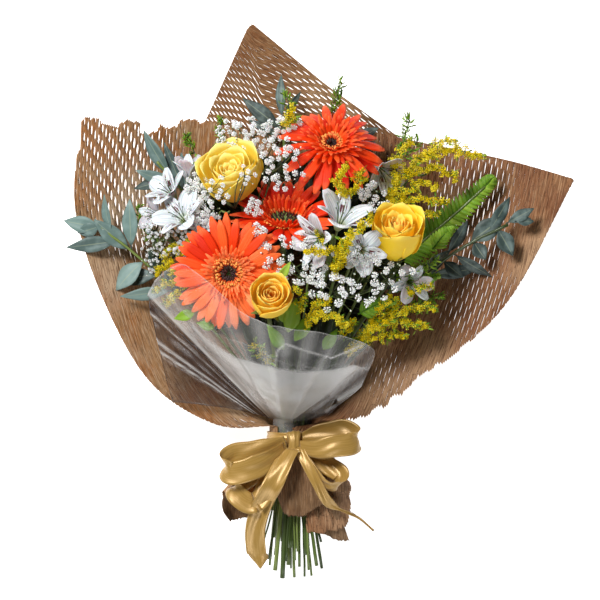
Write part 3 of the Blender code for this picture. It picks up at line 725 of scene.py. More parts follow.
def slit_sheet(flat_map, slope, spots, least, edge_wear, seed):
    """One slit sheet: slope is the slits' angle from the t direction, in degrees."""
    turn = math.radians(slope)
    along = np.array([math.sin(turn), math.cos(turn)])
    across = np.array([math.cos(turn), -math.sin(turn)])
    tall, wide = flat_map.rise.max(), flat_map.widths.max() / 2
    corners = np.array([(s, t) for s in (-wide, wide) for t in (flat_map.rise.min(), tall)])
    a, b = corners @ along / STEP, corners @ across / ROW
    columns = np.arange(math.floor(a.min()), math.ceil(a.max()) + 1)
    half_rows = np.arange(2 * math.floor(b.min()), 2 * math.ceil(b.max()) + 1)
    a, b = np.meshgrid(columns * STEP, half_rows * ROW / 2, indexing="xy")
    s, t = a * along[0] + b * across[0], a * along[1] + b * across[1]
    points, outside = flat_map.place(s, t)
    ahead, beside = (
        flat_map.place(s + way[0], t + way[1])[0] - flat_map.place(s - way[0], t - way[1])[0]
        for way in (along, across)
    )
    normal = normalised(np.cross(beside, ahead))
    beside = normalised(beside)
    outside = outside + edge_wear(points)
    row_number = half_rows // 2
    on_slit_row = (half_rows % 2 == 0)[:, None]
    offset = np.where(row_number % 2 == 1, PITCH_STEPS // 2, 0)
    phase = (columns[None, :] + offset[:, None]) % PITCH_STEPS
    rng = np.random.default_rng(seed)
    luck = rng.uniform(0.55, 1.15, phase.shape)
    in_slit = on_slit_row & (phase > 0) & (phase < SLIT_STEPS)
    gape = openness(points, spots, least)
    in_slit &= (outside < -EDGE) & (points[..., 1] > 0) & (gape > SHUT)
    pull = gape * np.sin(math.pi * np.clip(phase / SLIT_STEPS, 0, 1)) ** 0.8
    pull = np.where(in_slit, pull, 0) * luck
    shift = beside * (pull * OPENING)[..., None]
    tip = normal * (pull * TILT)[..., None]
    plus, minus = points + shift + tip, points - shift - tip
    height, width = points.shape[:2]
    index = np.arange(height * width).reshape(height, width)
    all_points = np.concatenate([plus.reshape(-1, 3), minus.reshape(-1, 3)])
    minus_index = np.where(in_slit, index + height * width, index)
    lips = [index[:-1, :-1], index[:-1, 1:], minus_index[1:, 1:], minus_index[1:, :-1]]
    quads = np.stack(lips, axis=-1).reshape(-1, 4)
    inside = np.tile(outside.ravel() < 0, 2)[quads]
    quads = quads[inside.sum(axis=1) > 1][:, ::-1]
    used, small = np.unique(quads, return_inverse=True)
    uv = np.stack([np.tile(a.ravel(), 2), np.tile(b.ravel(), 2)], axis=1)[used]
    pile = Pile()
    pile.add(quad_shape(all_points[used], small, uv), None, np.tile(gape.ravel(), 2)[used])
    return pile


PAPER = 0.35  # thickness of the kraft paper


def thickened(made, thickness):
    bpy.ops.object.select_all(action="DESELECT")
    bpy.context.view_layer.objects.active = made
    made.select_set(True)
    bpy.ops.object.modifier_add(type="SOLIDIFY")
    made.modifiers[-1].thickness = thickness * MM
    made.modifiers[-1].offset = 0
    bpy.ops.object.modifier_apply(modifier=made.modifiers[-1].name)


# %% [markdown]
# ## The finish of the kraft paper
#
# Recycled kraft paper has long fibres that run with the slits, cloudy lighter and greyer patches,
# which are partly the paper's own mottling and partly painted sheen, and short darker flecks. The
# UV map holds millimetres along and across the slits, so the fibre noise is stretched along them.


# %% Kraft paper
def kraft_finish(name, base, pale, dark, red):
    paper = Finish(name, 0.82, Specular_IOR_Level=0.2)
    fibres = paper.uv_noise((0.09, 1.6), 1.0, 4.0)
    threads = paper.uv_noise((0.05, 0.8), 1.7, 2.0)
    clouds = paper.noise(26.0, 4.0)
    patches = paper.noise(9.0, 2.0)
    strips = paper.uv_noise((0.03, 0.5), 1.0, 3.0)
    colour = paper.mix(paper.band(clouds, 0.38, 0.66), base, red)
    flecks = paper.noise(420.0, 2.0)
    for value, low, high, share, other in (
        # The pale patches are partly mottling and partly painted sheen.
        (patches, 0.46, 0.7, 0.75, pale),
        (strips, 0.47, 0.34, 0.45, dark),
        (strips, 0.54, 0.68, 0.45, pale),
        (fibres, 0.5, 0.72, 0.65, pale),
        (threads, 0.5, 0.36, 0.7, dark),
        (flecks, 0.6, 0.72, 0.5, dark),
    ):
        colour = paper.tint(colour, value, low, high, share, other)
    paper.colour(colour)
    paper.rough(0.7 + fibres * 0.25)
    paper.bump(fibres * 0.6 + flecks * 0.4, 0.5, 0.6)
    return paper


kraft = kraft_finish("kraft_left", (164, 126, 88), (206, 184, 156), (98, 68, 44), (158, 102, 54))
kraft_right = kraft_finish(
    "kraft_right", (146, 102, 68), (194, 158, 122), (78, 50, 34), (122, 74, 46)
)
kraft_back = kraft_finish(
    "kraft_back", (142, 102, 66), (186, 156, 120), (82, 54, 34), (126, 80, 46)
)


# %% [markdown]
# ## The three sheets
#
# The back sheet lies on the table with its corner up: its slits run across it and gape in a band
# above the blooms. The left sheet has a torn, stepped top edge; the right one ends in a long corner
# and a ragged lower edge. Each is laid out, cut, worn at its edges, and given its thickness.

# %% Lay the sheets
def tidy_edge(points):
    return np.zeros(points.shape[:-1])


def wavy(values, spread, depth, seed):
    """Smooth random waves along an edge."""
    places = np.arange(-400, 401, spread)
    heights = np.random.default_rng(seed).uniform(-1, 1, len(places))
    return np.interp(values, places, heights) * depth


def torn_top(points):
    """The left sheet's top edge, torn in steps."""
    x, y = points[..., 0], points[..., 1]
    steps = np.interp(
        x, [-190, -182, -181, -164, -163, -146, -145, -128, -127, -110, -109],
        [0, 0, 5, 5, 1, 1, 12, 12, 6, 6, 0]
    )
    return np.where(y > 250, steps + 2 + wavy(x, 3.1, 2.2, 5), 0)


def torn_right(points):
    """The right sheet's lower edge, ragged near the film."""
    x, y = points[..., 0], points[..., 1]
    near = np.clip((190 - x) / 60, 0, 1) * np.clip((110 - y) / 40, 0, 1)
    below = 30.0 * ((y < -62) & (x < 14))
    return near * (4 + wavy(x + y, 5.0, 3.6, 8)) + below


SHEETS = {
    "kraft_sheet_back": (GUIDES["back"], BACK_RADIUS, True, -62, tidy_edge, kraft_back, 11),
    "kraft_sheet_left": (GUIDES["left"], SIDE_RADIUS, False, 0, torn_top, kraft, 12),
    "kraft_sheet_right": (GUIDES["right"], SIDE_RADIUS, False, -22, torn_right, kraft_right, 13),
}
# Where the slits gape on each sheet: x, y, radius and how far.
GAPES = table("""
kraft_sheet_back:
-80 302 34 1, -50 312 40 0.85, 20 312 45 0.95, 48 290 45 1, 70 275 30 0.7, -20 330 30 0.5
kraft_sheet_left:
-180 280 30 0.8, -150 270 34 0.95, -158 235 30 1, -150 200 26 0.9, -148 215 28 0.9,
-140 300 22 0.6, -46 8 13 0.35
kraft_sheet_right:
182 245 22 1, 186 212 22 1, 176 180 24 1, 186 130 26 1, 170 112 24 0.9, 135 240 32 0.7,
140 210 26 0.7, 84 60 26 0.6, 100 40 26 0.5
""")
LEAST = {"kraft_sheet_back": 0.05, "kraft_sheet_left": 0.0, "kraft_sheet_right": 0.1}
for sheet_name, (guides, radius, cornered, slope, wear, finish, seed) in SHEETS.items():
    surface, tie_row = sheet_surface(guides, radius, cornered=cornered)
    flat_map = FlatMap(surface, tie_row)
    pile = slit_sheet(flat_map, slope, GAPES[sheet_name][0], LEAST[sheet_name], wear, seed)
    made = pile.piece(sheet_name.replace("sheet", "paper"), finish, "kraft_paper", [sheet_name])
    thickened(made, PAPER)


# %% [markdown]
# ## The bundle of stems
#
# Every stem passes through its own slot in a honeycomb at the tie, fans out below it to a cut end,
# and above it runs to its bloom or spray. The slots are handed out so that no two stems cross, with
# the same rules as the CAD stems, and the routes are then drawn finer and with nodes and bruises.

# %% Blooms and sprays: where they are and where their stems go
GERBERAS = {
    "gerbera_front": ((-57, 153, 153), (-0.04, -0.16, 0.98), 46),
    "gerbera_middle": ((-7, 202, 114), (0.04, 0.84, 0.54), 45),
    "gerbera_top": ((36, 273, 106), (0.04, 0.58, 0.81), 47),
}
ROSES = {
    "rose_left": ((-55, 242, 106), (-0.22, 0.66, 0.72), 29, 46),
    "rose_right": ((94, 185, 136), (0.03, 0.70, 0.71), 24, 44),
    "rose_front": ((-19, 131, 168), (0.05, 0.42, 0.90), 20, 42),
}
ALSTROEMERIAS = {
    "alstroemeria_left_upper": ((-106, 222, 96), (-0.35, 0.45, 0.82)),
    "alstroemeria_left_lower": ((-93, 194, 124), (-0.35, 0.10, 0.93)),
    "alstroemeria_middle": ((36, 196, 152), (0.05, 0.62, 0.78)),
    "alstroemeria_right": ((60, 174, 138), (0.12, 0.20, 0.97)),
    "alstroemeria_top": ((82, 244, 84), (0.35, 0.35, 0.87)),
    "alstroemeria_low": ((112, 146, 114), (0.35, -0.10, 0.93)),
}
SPRAY_ROUTES = table("""
babys_breath_top:
-36 236 56
babys_breath_over_rose:
-64 192 104, -57 209 133
babys_breath_middle:
-14 232 60, -20 245 96
babys_breath_left:
-100 174 80
babys_breath_centre:
14 146 132
babys_breath_right:
48 130 118
goldenrod_right_top:
98 224 72, 124 246 84
goldenrod_right_middle:
96 196 74, 116 214 86
goldenrod_centre:
38 148 112, 38 164 164
goldenrod_ball:
44 204 98, 50 219 132
goldenrod_left:
-86 130 82, -100 148 90
goldenrod_low_right:
62 92 82, 84 116 104
goldenrod_low_front:
56 74 66, 74 92 84
goldenrod_low_centre:
10 92 116, 12 108 142
green_tip_top:
28 226 44, 36 290 52
green_tip_right:
82 232 46, 100 262 52
fern_right:
92 158 52, 122 184 54, 153 210 57, 180 235 62
eucalyptus_left:
-84 112 54, -112 140 62, -147 172 72, -178 196 78
eucalyptus_upper_left:
-72 186 50, -98 224 62, -114 244 70, -126 258 74
eucalyptus_top:
-8 230 26, -8 280 34, -8 302 38
eucalyptus_right:
98 124 56, 134 160 70, 162 180 78, 200 199 84
""")


def run_in(centre, facing, depth, reach):
    """The last bit of a stem, straight into the back of its bloom."""
    way = unit(facing)
    end = np.array(centre, float) - way * depth
    return [end - way * reach, end - way * 4, end]


STEM_ROUTES = {}
for blooms, depth, reach, width in (
    (GERBERAS, 13, 24, 2.4), (ROSES, 0.5, 22, 2.4), (ALSTROEMERIAS, 20, 14, 1.6)
):
    for bloom, (centre, facing, *rest) in blooms.items():
        deep = depth * rest[1] if blooms is ROSES else depth
        STEM_ROUTES[bloom + "_stem"] = (run_in(centre, facing, deep, reach), width)
SPRAY_WIDTHS = {"babys": 1.0, "golde": 1.3, "green": 1.4, "fern_": 1.4, "eucal": 1.4}
for spray, (route,) in SPRAY_ROUTES.items():
    STEM_ROUTES[spray] = (route, SPRAY_WIDTHS[spray[:5]])

# %% Hand out the slots at the tie and draw the lines
STEM_PITCH = 5.0
MOUTH = 24.0
FOOT_LENGTHS = (135, 106, 124, 98, 113, 127, 101, 118, 109)


def bundle_slots(count):
    """Places for the stems round the middle of the tie, in a honeycomb, nearest first."""
    found = []
    for row in range(-6, 7):
        for column in range(-6, 7):
            x = (column + row % 2 / 2) * STEM_PITCH
            z = row * STEM_PITCH * math.sqrt(3) / 2
            found.append((math.hypot(x, z + 0.01 * x), x, z))
    return [(x, z) for _, x, z in sorted(found)[:count]]


def shared_out(aims):
    """Gives each stem a slot so that no two cross: slots are swapped until no swap helps."""
    slots = bundle_slots(len(aims))
    order = sorted(range(len(aims)), key=lambda i: aims[i])
    chosen = {index: slots[rank] for rank, index in enumerate(order)}
    swapped = True
    while swapped:
        swapped = False
        for i in chosen:
            for j in chosen:
                gain = sum(
                    (chosen[i][k] - chosen[j][k]) * (aims[i][k] - aims[j][k]) for k in (0, 1)
                )
                if gain < -1e-9:
                    chosen[i], chosen[j] = chosen[j], chosen[i]
                    swapped = True
    return chosen


def stem_aim(route):
    x, y, z = route[0]
    reach = 100 / (y - MOUTH)
    return (x * reach, (z - TIE_HEIGHT) * reach)


stem_names = list(STEM_ROUTES)
stem_slots = shared_out([stem_aim(STEM_ROUTES[n][0]) for n in stem_names])
STEM_LINES = {}
for index, stem in enumerate(stem_names):
    x, z = stem_slots[index]
    stray = 4.0 * math.sin(2.4 * index)
    foot = (x * 1.9 + stray, -FOOT_LENGTHS[index % len(FOOT_LENGTHS)], TIE_HEIGHT + z * 0.95)
    start = [
        foot, (x * 1.4 + stray * 0.3, -66, TIE_HEIGHT + z * 0.97), (x * 1.08, -18, TIE_HEIGHT + z),
        (x, 6, TIE_HEIGHT + z)
    ]
    route = [(x * 1.12, MOUTH, TIE_HEIGHT + z * 1.08), *STEM_ROUTES[stem][0]]
    STEM_LINES[stem] = np.concatenate([catmull(start, 5), catmull(route, 6)])
print("stems", len(STEM_LINES))

# %% Stem finish and the stems
stem_green = Finish("stem_green", 0.45, Coat_Weight=0.15)
stem_streaks = stem_green.uv_noise((1.2, 0.05), 1.0, 3.0)
stem_colour = stem_green.toned((0.0, (38, 52, 22)), (0.5, (86, 108, 44)), (1.0, (140, 156, 82)))
stem_colour = stem_green.tint(stem_colour, stem_streaks, 0.45, 0.7, 0.5, (64, 74, 30))
stem_green.colour(stem_colour)
stem_green.bump(stem_streaks, 0.3, 0.5)

rng = np.random.default_rng(21)
stem_pile = Pile()
for index, (stem, line) in enumerate(STEM_LINES.items()):
    width = STEM_ROUTES[stem][1]
    count = len(line)
    radii = np.full(count, width) * rng.uniform(0.8, 1.06)
    swell = 1 + 0.1 * np.sin(np.arange(count) * rng.uniform(0.5, 0.9) + index) ** 6
    stem_pile.add(
        tube(line + rng.normal(0, 0.12, line.shape), radii * swell, 8), None, rng.uniform(0.1, 0.85)
    )
stem_pile.piece("stems", stem_green, "green_stem", [n for n in stem_names if n.endswith("_stem")])

# %% [markdown]
# ## Gerberas
#
# A gerbera is a whole colony: broad ray petals in two or three rings, a collar of short narrow
# ones, a ring of frilled disc florets with yellow tips, and dark buds still closed in the middle.
# Each of the four is one modelled blade, repeated on rings. Behind, green bracts hold the head. The
# three heads share the shapes and differ in their colour, tilt and how far they are open.

# %% Gerbera petals
RAY = blade(
    "ray_petal", 36, 9.4,
    [
        (0.34, 0), (0.52, 0.5), (0.74, 1.0), (0.92, 1.3), (1.0, 1.2), (0.96, 0.9), (0.76, 0.5),
        (0.34, 0.1)
    ],
    columns=6, creases=(-0.6, 0.35, -0.35, 0.3, -0.35, 0.35, -0.6),
    tip=(-0.6, 0.3, 0.9, 0.2, 0.9, 0.3, -0.6),
)
COLLAR = blade(
    "collar_petal", 13, 3.4, [(0.5, 0), (0.9, 0.4), (1.0, 0.6), (0.8, 0.4), (0.3, 0)], columns=2,
    creases=(0.3, -0.3, 0.3), thickness=0.3
)
DISC = blade(
    "disc_floret", 6, 1.5, [(0.5, 0), (0.8, 0.2), (1.1, 0.1), (0.9, -0.4)], columns=1,
    thickness=0.35
)
BRACT = blade(
    "bract", 17, 4.6, [(0.8, 0), (1.0, 0.5), (0.7, 0.3), (0.1, 0)], columns=2,
    creases=(0.3, -0.2, 0.3), thickness=0.4
)


PETAL_LIGHT = dict(Subsurface_Weight=0.12, Subsurface_Scale=0.002)
gerbera_skin = Finish("gerbera_ray", 0.5, Specular_IOR_Level=0.2, **PETAL_LIGHT)
ray_veins = gerbera_skin.uv_noise((16, 0.5), 1.0, 2.0)
ray_colour = gerbera_skin.ramp(
    gerbera_skin.attribute("tone") + (ray_veins - 0.5) * 0.22,
    (0.0, (96, 6, 2)), (0.28, (196, 22, 4)), (0.5, (238, 62, 6)), (
        0.75, (252, 106, 44)
    ), (1.0, (255, 156, 100)),
)
ray_colour = gerbera_skin.tint(ray_colour, gerbera_skin.along(), 0.72, 1.02, 0.55, (255, 128, 70))
ray_colour = gerbera_skin.tint(ray_colour, ray_veins, 0.52, 0.3, 0.4, (214, 52, 18))
gerbera_skin.colour(ray_colour)
# Painted glow: the ray petals give off a little light in their own colour.
gerbera_skin.glow(ray_colour, 0.1)
gerbera_skin.bump(ray_veins, 0.5, 0.7)
disc_skin = Finish("gerbera_disc", 0.6)
disc_tone, disc_along = disc_skin.attribute("tone"), disc_skin.along()
disc_colour = disc_skin.ramp(
    disc_tone, (0.0, (30, 8, 6)), (0.3, (70, 20, 12)), (0.6, (222, 84, 22)), (1.0, (240, 108, 48))
)
disc_tips = disc_skin.band(disc_along, 0.6, 0.85) * disc_skin.band(disc_tone, 0.35, 0.55)
disc_skin.colour(disc_skin.mix(disc_tips, disc_colour, (252, 176, 84)))
bract_skin = Finish("bract_green", 0.6)
bract_skin.colour(
    bract_skin.mix(bract_skin.band(bract_skin.along(), 0.2, 0.9), (74, 104, 40), (112, 132, 64))
)
bract_skin.bump(bract_skin.uv_noise((10, 1)), 0.3)


def ring_of(pile, shape, head, count, radius, rise, size, turn, tone, rng, lift=0.0, start=0.0):
    """Places a blade round a head: rise is its angle above the face, turn its own bend."""
    for k in range(count):
        angle = 2 * math.pi * (k + start + rng.normal(0, 0.13)) / count
        out = spoke(angle)
        tilt = math.radians((rise(angle) if callable(rise) else rise) + rng.normal(0, 3.5))
        way = out * math.cos(tilt) + UP * math.sin(tilt)
        over = UP * math.cos(tilt) - out * math.sin(tilt)
        scale = np.array(size) * (1 + rng.normal(0, 0.045, 3))
        placed = aimed(out * radius + UP * (lift + rng.normal(0, 0.25)), way, over, scale)
        bent = shape.bent(turn + rng.normal(0, 0.12), rng.normal(0, 0.12), rng.normal(0, 0.03))
        shade = tone(angle) if callable(tone) else tone
        pile.add(bent, head @ placed, float(np.clip(shade + rng.normal(0, 0.09), 0, 1)))


CLOSED_BUDS = 70  # dark buds in the middle of a gerbera


def gerbera(name, look, seed):
    centre, facing, radius = GERBERAS[name]
    head = facing_frame(centre, facing)
    rng = np.random.default_rng(seed)
    rays, middle = Pile(), Pile()
    for layer, (count, start, length, width, rise, turn, shade) in enumerate(look["rays"]):
        size = (width / 9.4, length / 36, 1)
        ring_of(
            rays, RAY, head, count, start, rise, size, turn, shade, rng, -1.6 * layer, 0.5 * layer
        )
    for count, start, length, rise, turn, tone in look["collar"]:
        ring_of(
            rays, COLLAR, head, count, start, rise, (length / 13 * 0.95, length / 13, 1), turn,
            tone, rng, 0.8
        )
    inner, outer = look["disc"]
    for k in range(look["florets"]):
        share = (k + 0.5) / look["florets"]
        spot = inner + (outer - inner) * share
        out = spoke(k * GOLDEN)
        way = out * (0.25 + 0.75 * share) + UP + rng.normal(0, 0.12, 3)
        size = rng.uniform(0.75, 1.1)
        placed = head @ aimed(out * spot + (0, 0, 0.5), way, -out, size)
        middle.add(DISC.bent(-0.9, rng.normal(0, 0.3)), placed, rng.uniform(0.55, 1.0))
    for k in range(CLOSED_BUDS):
        out = spoke(k * GOLDEN)
        spot = out * math.sqrt((k + 0.5) / CLOSED_BUDS) * inner * 1.02 + (0, 0, -0.6)
        placed = head @ aimed(spot, out * 0.2 + UP, out, (1.0, 0.55, 1.0))
        middle.add(DISC.bent(1.4), placed, rng.uniform(0.0, 0.24))
    rays.piece(name + "_rays", gerbera_skin, "gerbera_petal", [name])
    middle.piece(name + "_disc", disc_skin, "gerbera_petal")
    cup = Pile()
    for layer, (spot, low, tilt) in enumerate(((9, -6, 12), (6, -8.5, 30), (3.5, -11, 48))):
        ring_of(
            cup, BRACT, head, 16, spot * 0.35, tilt, (1, 0.75, 1), 0.5, 0.5, rng, low, 0.5 * layer
        )
    floor = [local(head, (0, 0, h)) for h in (-14, -9, -5.5, -3)]
    cup.add(tube(floor, [2.6, 5.5, max(inner, 8.0), max(inner, 8.0) * 0.9], 14))
    cup.piece(name + "_cup", bract_skin, "green_stem")


def front_shade(angle):
    """Petals that face the upper left are deep orange, the others pale coral."""
    return 0.78 - 0.3 * max(0.0, math.cos(angle - 2.1)) + 0.12 * max(0.0, math.cos(angle + 1.4))


def middle_shade(angle):
    """The far petals stand in shade; those on the right catch the light."""
    return 0.30 + 0.22 * max(0.0, math.cos(angle + 0.2)) - 0.06 * max(0.0, math.sin(angle))


def middle_rise(angle):
    return 14 + 14 * max(0.0, math.sin(angle))


gerbera("gerbera_front", {
    "rays": [(22, 14, 35, 8.8, 5, -0.22, front_shade), (22, 12, 39, 9.2, 0, -0.3, front_shade)],
    "collar": [(34, 14, 13, 24, 0.2, 0.82), (38, 13, 11, 36, 0.2, 0.86), (38, 12, 8, 52, 0.2, 0.9)],
    "disc": (6.4, 14.5), "florets": 190,
}, 31)
gerbera("gerbera_middle", {
    "rays": [
        (18, 15, 34, 9.0, middle_rise, -0.1, middle_shade),
        (18, 13, 38, 9.6, middle_rise, -0.18, middle_shade)
    ],
    "collar": [(32, 16, 15, 44, 0.25, 0.46), (34, 14.5, 13, 58, 0.2, 0.5)],
    "disc": (12.5, 16.5), "florets": 90,
}, 32)
gerbera("gerbera_top", {
    "rays": [(15, 13, 37, 9.0, -8, -0.18, 0.44), (15, 11, 42, 9.4, -14, -0.25, 0.38)],
    "collar": [
        (26, 13, 19, 14, 0.1, 0.5), (30, 10, 17, 34, 0.15, 0.52), (26, 9, 12, 52, 0.1, 0.55)
    ],
    "disc": (4.2, 9.5), "florets": 110,
}, 33)


# %% [markdown]
# ## Roses
#
# A rose is a spiral of cupped petals, tight in the middle and opening outwards, each with its lip
# rolled back. One petal is modelled flat, with its rolled lip; it is then wrapped round the bloom's
# axis at its own radius, so that it overlaps its neighbours as a real one does.

# %% Rose petals
ROSE_PETAL = blade(
    "rose_petal", 1000, 1000,
    [
        (0.42, 0), (0.7, 0), (0.88, 0), (0.98, 0), (1.0, 0), (0.96, 10), (0.86, 34), (0.66, 74),
        (0.36, 130)
    ],
    columns=8, thickness=12, tip=(-60, -15, 5, 30, 55, 30, 5, -15, -60),
)


def rose_finish(name, heart, middle, outside, edge):
    """Rose skin: warm in the heart, paler outwards, with faint veins and a light edge."""
    skin = Finish(
        name, 0.5, Subsurface_Weight=0.12, Subsurface_Scale=0.002, Specular_IOR_Level=0.25
    )
    tone, along = skin.attribute("tone"), skin.along()
    veins = skin.uv_noise((14, 2.2), 1.0, 3.0)
    colour = skin.ramp(tone + (veins - 0.5) * 0.1, (0.0, heart), (0.45, middle), (1.0, outside))
    colour = skin.tint(colour, along, 0.82, 1.0, 0.6, edge)
    colour = skin.tint(colour, along, 0.3, 0.0, 0.3, (214, 186, 60))
    skin.colour(colour)
    # Painted glow: the petals give off a little light in their own colour.
    skin.glow(colour, 0.07)
    skin.bump(veins, 0.6, 0.5)
    return skin


PETAL_SIDE = 0.22  # half the thickness of a petal


def wrapped(shape, radius, height, span, flare, lip):
    """Wraps a flat petal round the Z axis. flare opens the top, lip rolls its edge out."""
    x, y, z = shape.points.T / 1000
    half = len(z) // 2
    side = np.sign(z[:half] - z[half:]) * PETAL_SIDE
    z = np.tile((z[:half] + z[half:]) / 2, 2)
    side = np.concatenate([side, -side])
    angle = x * span
    share = np.clip(y, 0, 1.08)
    belly = 0.34 + 0.66 * np.sin(np.clip(share / 0.62, 0, 1) * math.pi / 2)
    roll = np.clip(share - 0.72, 0, 1) ** 2
    reach = radius * belly * (1 + flare * share**2) + z * lip + roll * lip * 4
    reach += (x * 2) ** 2 * radius * 0.10 + side
    tall = height * share - roll * lip * 3.2
    points = np.stack([-reach * np.sin(angle), reach * np.cos(angle), tall], axis=1)
    return Shape(points, shape.corners, shape.sides, shape.uvs)


SEPAL = blade(
    "sepal", 22, 6, [(0.7, 0), (1.0, 0), (0.7, 0.2), (0.1, 0)], columns=2, creases=(0.5, -0.3, 0.5),
    thickness=0.5
)


def rose(name, finish, petals, seed):
    """petals: (count, radius from, radius to, height from, height to, span, flare, lip)."""
    centre, facing, radius, height = ROSES[name]
    rng = np.random.default_rng(seed)
    head = facing_frame(np.array(centre) - unit(facing) * height * 0.5, facing)
    bloom = Pile()
    total = sum(row[0] for row in petals)
    made = 0
    for count, r0, r1, h0, h1, span, flare, lip in petals:
        for k in range(count):
            share = (k + 0.5) / count
            reach = r0 + (r1 - r0) * share
            tall = h0 + (h1 - h0) * share + rng.normal(0, 0.6)
            angle = made * GOLDEN + rng.normal(0, 0.15)
            around = span * rng.uniform(0.94, 1.06)
            petal = wrapped(ROSE_PETAL, reach, tall, around, flare + rng.normal(0, 0.03), lip)
            spin = np.eye(4)
            spin[:2, :2] = [[math.cos(angle), -math.sin(angle)], [math.sin(angle), math.cos(angle)]]
            spin[2, :2] = rng.normal(0, 0.02, 2)
            bloom.add(petal, head @ spin, made / total)
            made += 1
    bloom.piece(name + "_petals", finish, "rose_petal", [name])
    cup = Pile()
    ring_of(cup, SEPAL, head, 5, 2.5, 18, (1, 1, 1), 0.7, 0.5, rng, 1.0)
    cup.add(tube([local(head, (0, 0, h)) for h in (-3, -1, 3, 6)], [2.4, 4.6, 5.6, 4.0], 12))
    cup.piece(name + "_sepals", bract_skin, "green_stem")


lemon = rose_finish("rose_lemon", (244, 204, 78), (244, 218, 92), (234, 206, 68), (252, 240, 160))
gold_rose = rose_finish(
    "rose_gold", (250, 180, 92), (250, 204, 62), (242, 200, 28), (253, 230, 110)
)
amber_rose = rose_finish(
    "rose_amber", (212, 120, 16), (240, 182, 42), (244, 202, 64), (253, 230, 124)
)
rose(
    "rose_left", lemon,
    [
        (7, 2.5, 9, 34, 38, 4.2, 0.0, 0.8), (7, 10, 19, 40, 44, 3.0, 0.02, 2.0),
        (8, 21, 28, 45, 44, 2.3, 0.06, 3.4)
    ],
    41
)
rose(
    "rose_right", gold_rose,
    [
        (7, 2.2, 8, 42, 44, 4.2, 0.0, 0.6), (6, 9, 15, 44, 45, 3.2, 0.0, 1.6),
        (6, 18, 23, 46, 47, 2.5, 0.04, 3.2)
    ],
    42
)
rose(
    "rose_front", amber_rose,
    [
        (8, 1.8, 7.5, 30, 33, 4.4, 0.0, 0.5), (7, 8, 13, 34, 36, 3.2, 0.0, 1.2),
        (6, 14, 18.5, 37, 36, 2.4, 0.05, 2.4)
    ],
    43
)

# %% [markdown]
# ## Alstroemerias
#
# Each bloom has six petals that flare from a narrow throat: three broad outer ones, and three
# narrower inner ones with dark streaks. The streaks are drawn by noise squeezed along the petal,
# only on the inner petals and only on their middle part. Long curved stamens finish the throat.

# %% Alstroemeria petals
def tepal(name, width, shares):
    lifts = (0, 0.3, 0.8, 1.2, 1.0, 0.5, 0, -0.3)
    return blade(name, 32, width, list(zip(shares, lifts)), creases=(0.9, 0.1, -0.5, 0.1, 0.9))


OUTER_TEPAL = tepal("outer_tepal", 19, (0.16, 0.3, 0.58, 0.9, 1.0, 1.0, 0.84, 0.42))
INNER_TEPAL = tepal("inner_tepal", 12.5, (0.2, 0.4, 0.72, 0.96, 1.0, 0.94, 0.7, 0.3))

white_skin = Finish("alstroemeria_white", 0.45, Subsurface_Weight=0.15, Subsurface_Scale=0.004)
white_tone, white_along = white_skin.attribute("tone"), white_skin.along()
white_lines = white_skin.uv_noise((13, 0.8), 1.0, 2.0)
streak_noise = white_skin.uv_noise((22, 3.2), 1.0, 0.0)
on_middle = white_skin.band(white_skin.across().away_from(0.5), 0.42, 0.3)
on_middle = on_middle * white_skin.band(
    white_along, 0.28, 0.42
) * white_skin.band(white_along, 0.86, 0.7)
streaks = white_skin.band(
    streak_noise, 0.56, 0.6
) * on_middle * white_skin.band(white_tone, 0.5, 0.6)
white_colour = white_skin.mix(
    white_skin.band(white_lines, 0.35, 0.6), (188, 194, 200), (238, 240, 242)
)
white_colour = white_skin.mix(
    white_skin.band(white_along, 0.34, 0.05), white_colour, (178, 190, 128)
)
# Painted shade: blooms given a shade, whose tone falls low, turn a greyer mauve.
white_colour = white_skin.tint(white_colour, white_tone, 0.12, 0.0, 0.6, (178, 160, 168))
white_final = white_skin.mix(streaks, white_colour, (92, 46, 58))
white_skin.colour(white_final)
# Painted glow: the petals give off a little light in their own colour.
white_skin.glow(white_final, 0.03)
white_skin.bump(white_lines, 0.5, 0.6)


STAMEN = [(1.2, 0), (2.5, 10), (5.5, 19), (7.5, 22)]  # out and up, along a stamen


def alstroemeria(bloom, stamens, centre, facing, size, spread, seed, shade):
    """spread is how far the petals open, in degrees from the bloom's axis."""
    rng = np.random.default_rng(seed)
    head = facing_frame(np.array(centre) - unit(facing) * 12 * size, facing)
    for kind, shape, tone in ((0, OUTER_TEPAL, 0.3), (1, INNER_TEPAL, 0.85)):
        for k in range(3):
            out = spoke(2 * math.pi * (k + 0.5 * kind) / 3 + seed + rng.normal(0, 0.1))
            tilt = math.radians(90 - spread * 0.45 + rng.normal(0, 4))
            way = out * math.cos(tilt) + UP * math.sin(tilt)
            over = UP * math.cos(tilt) - out * math.sin(tilt)
            bent = shape.bent(
                -math.radians(spread * 0.85) + rng.normal(0, 0.12), rng.normal(0, 0.15)
            )
            bloom.add(bent, head @ aimed(out * 2.2 * size, way, over, size), max(tone - shade, 0.0))
    for k in range(6):
        out = spoke(1.05 * k + seed)
        line = [local(head, (out * a + UP * b) * size) for a, b in STAMEN]
        stamens.add(tube(catmull(line, 2), [0.35] * 6 + [0.75], 4), None, 0.25)


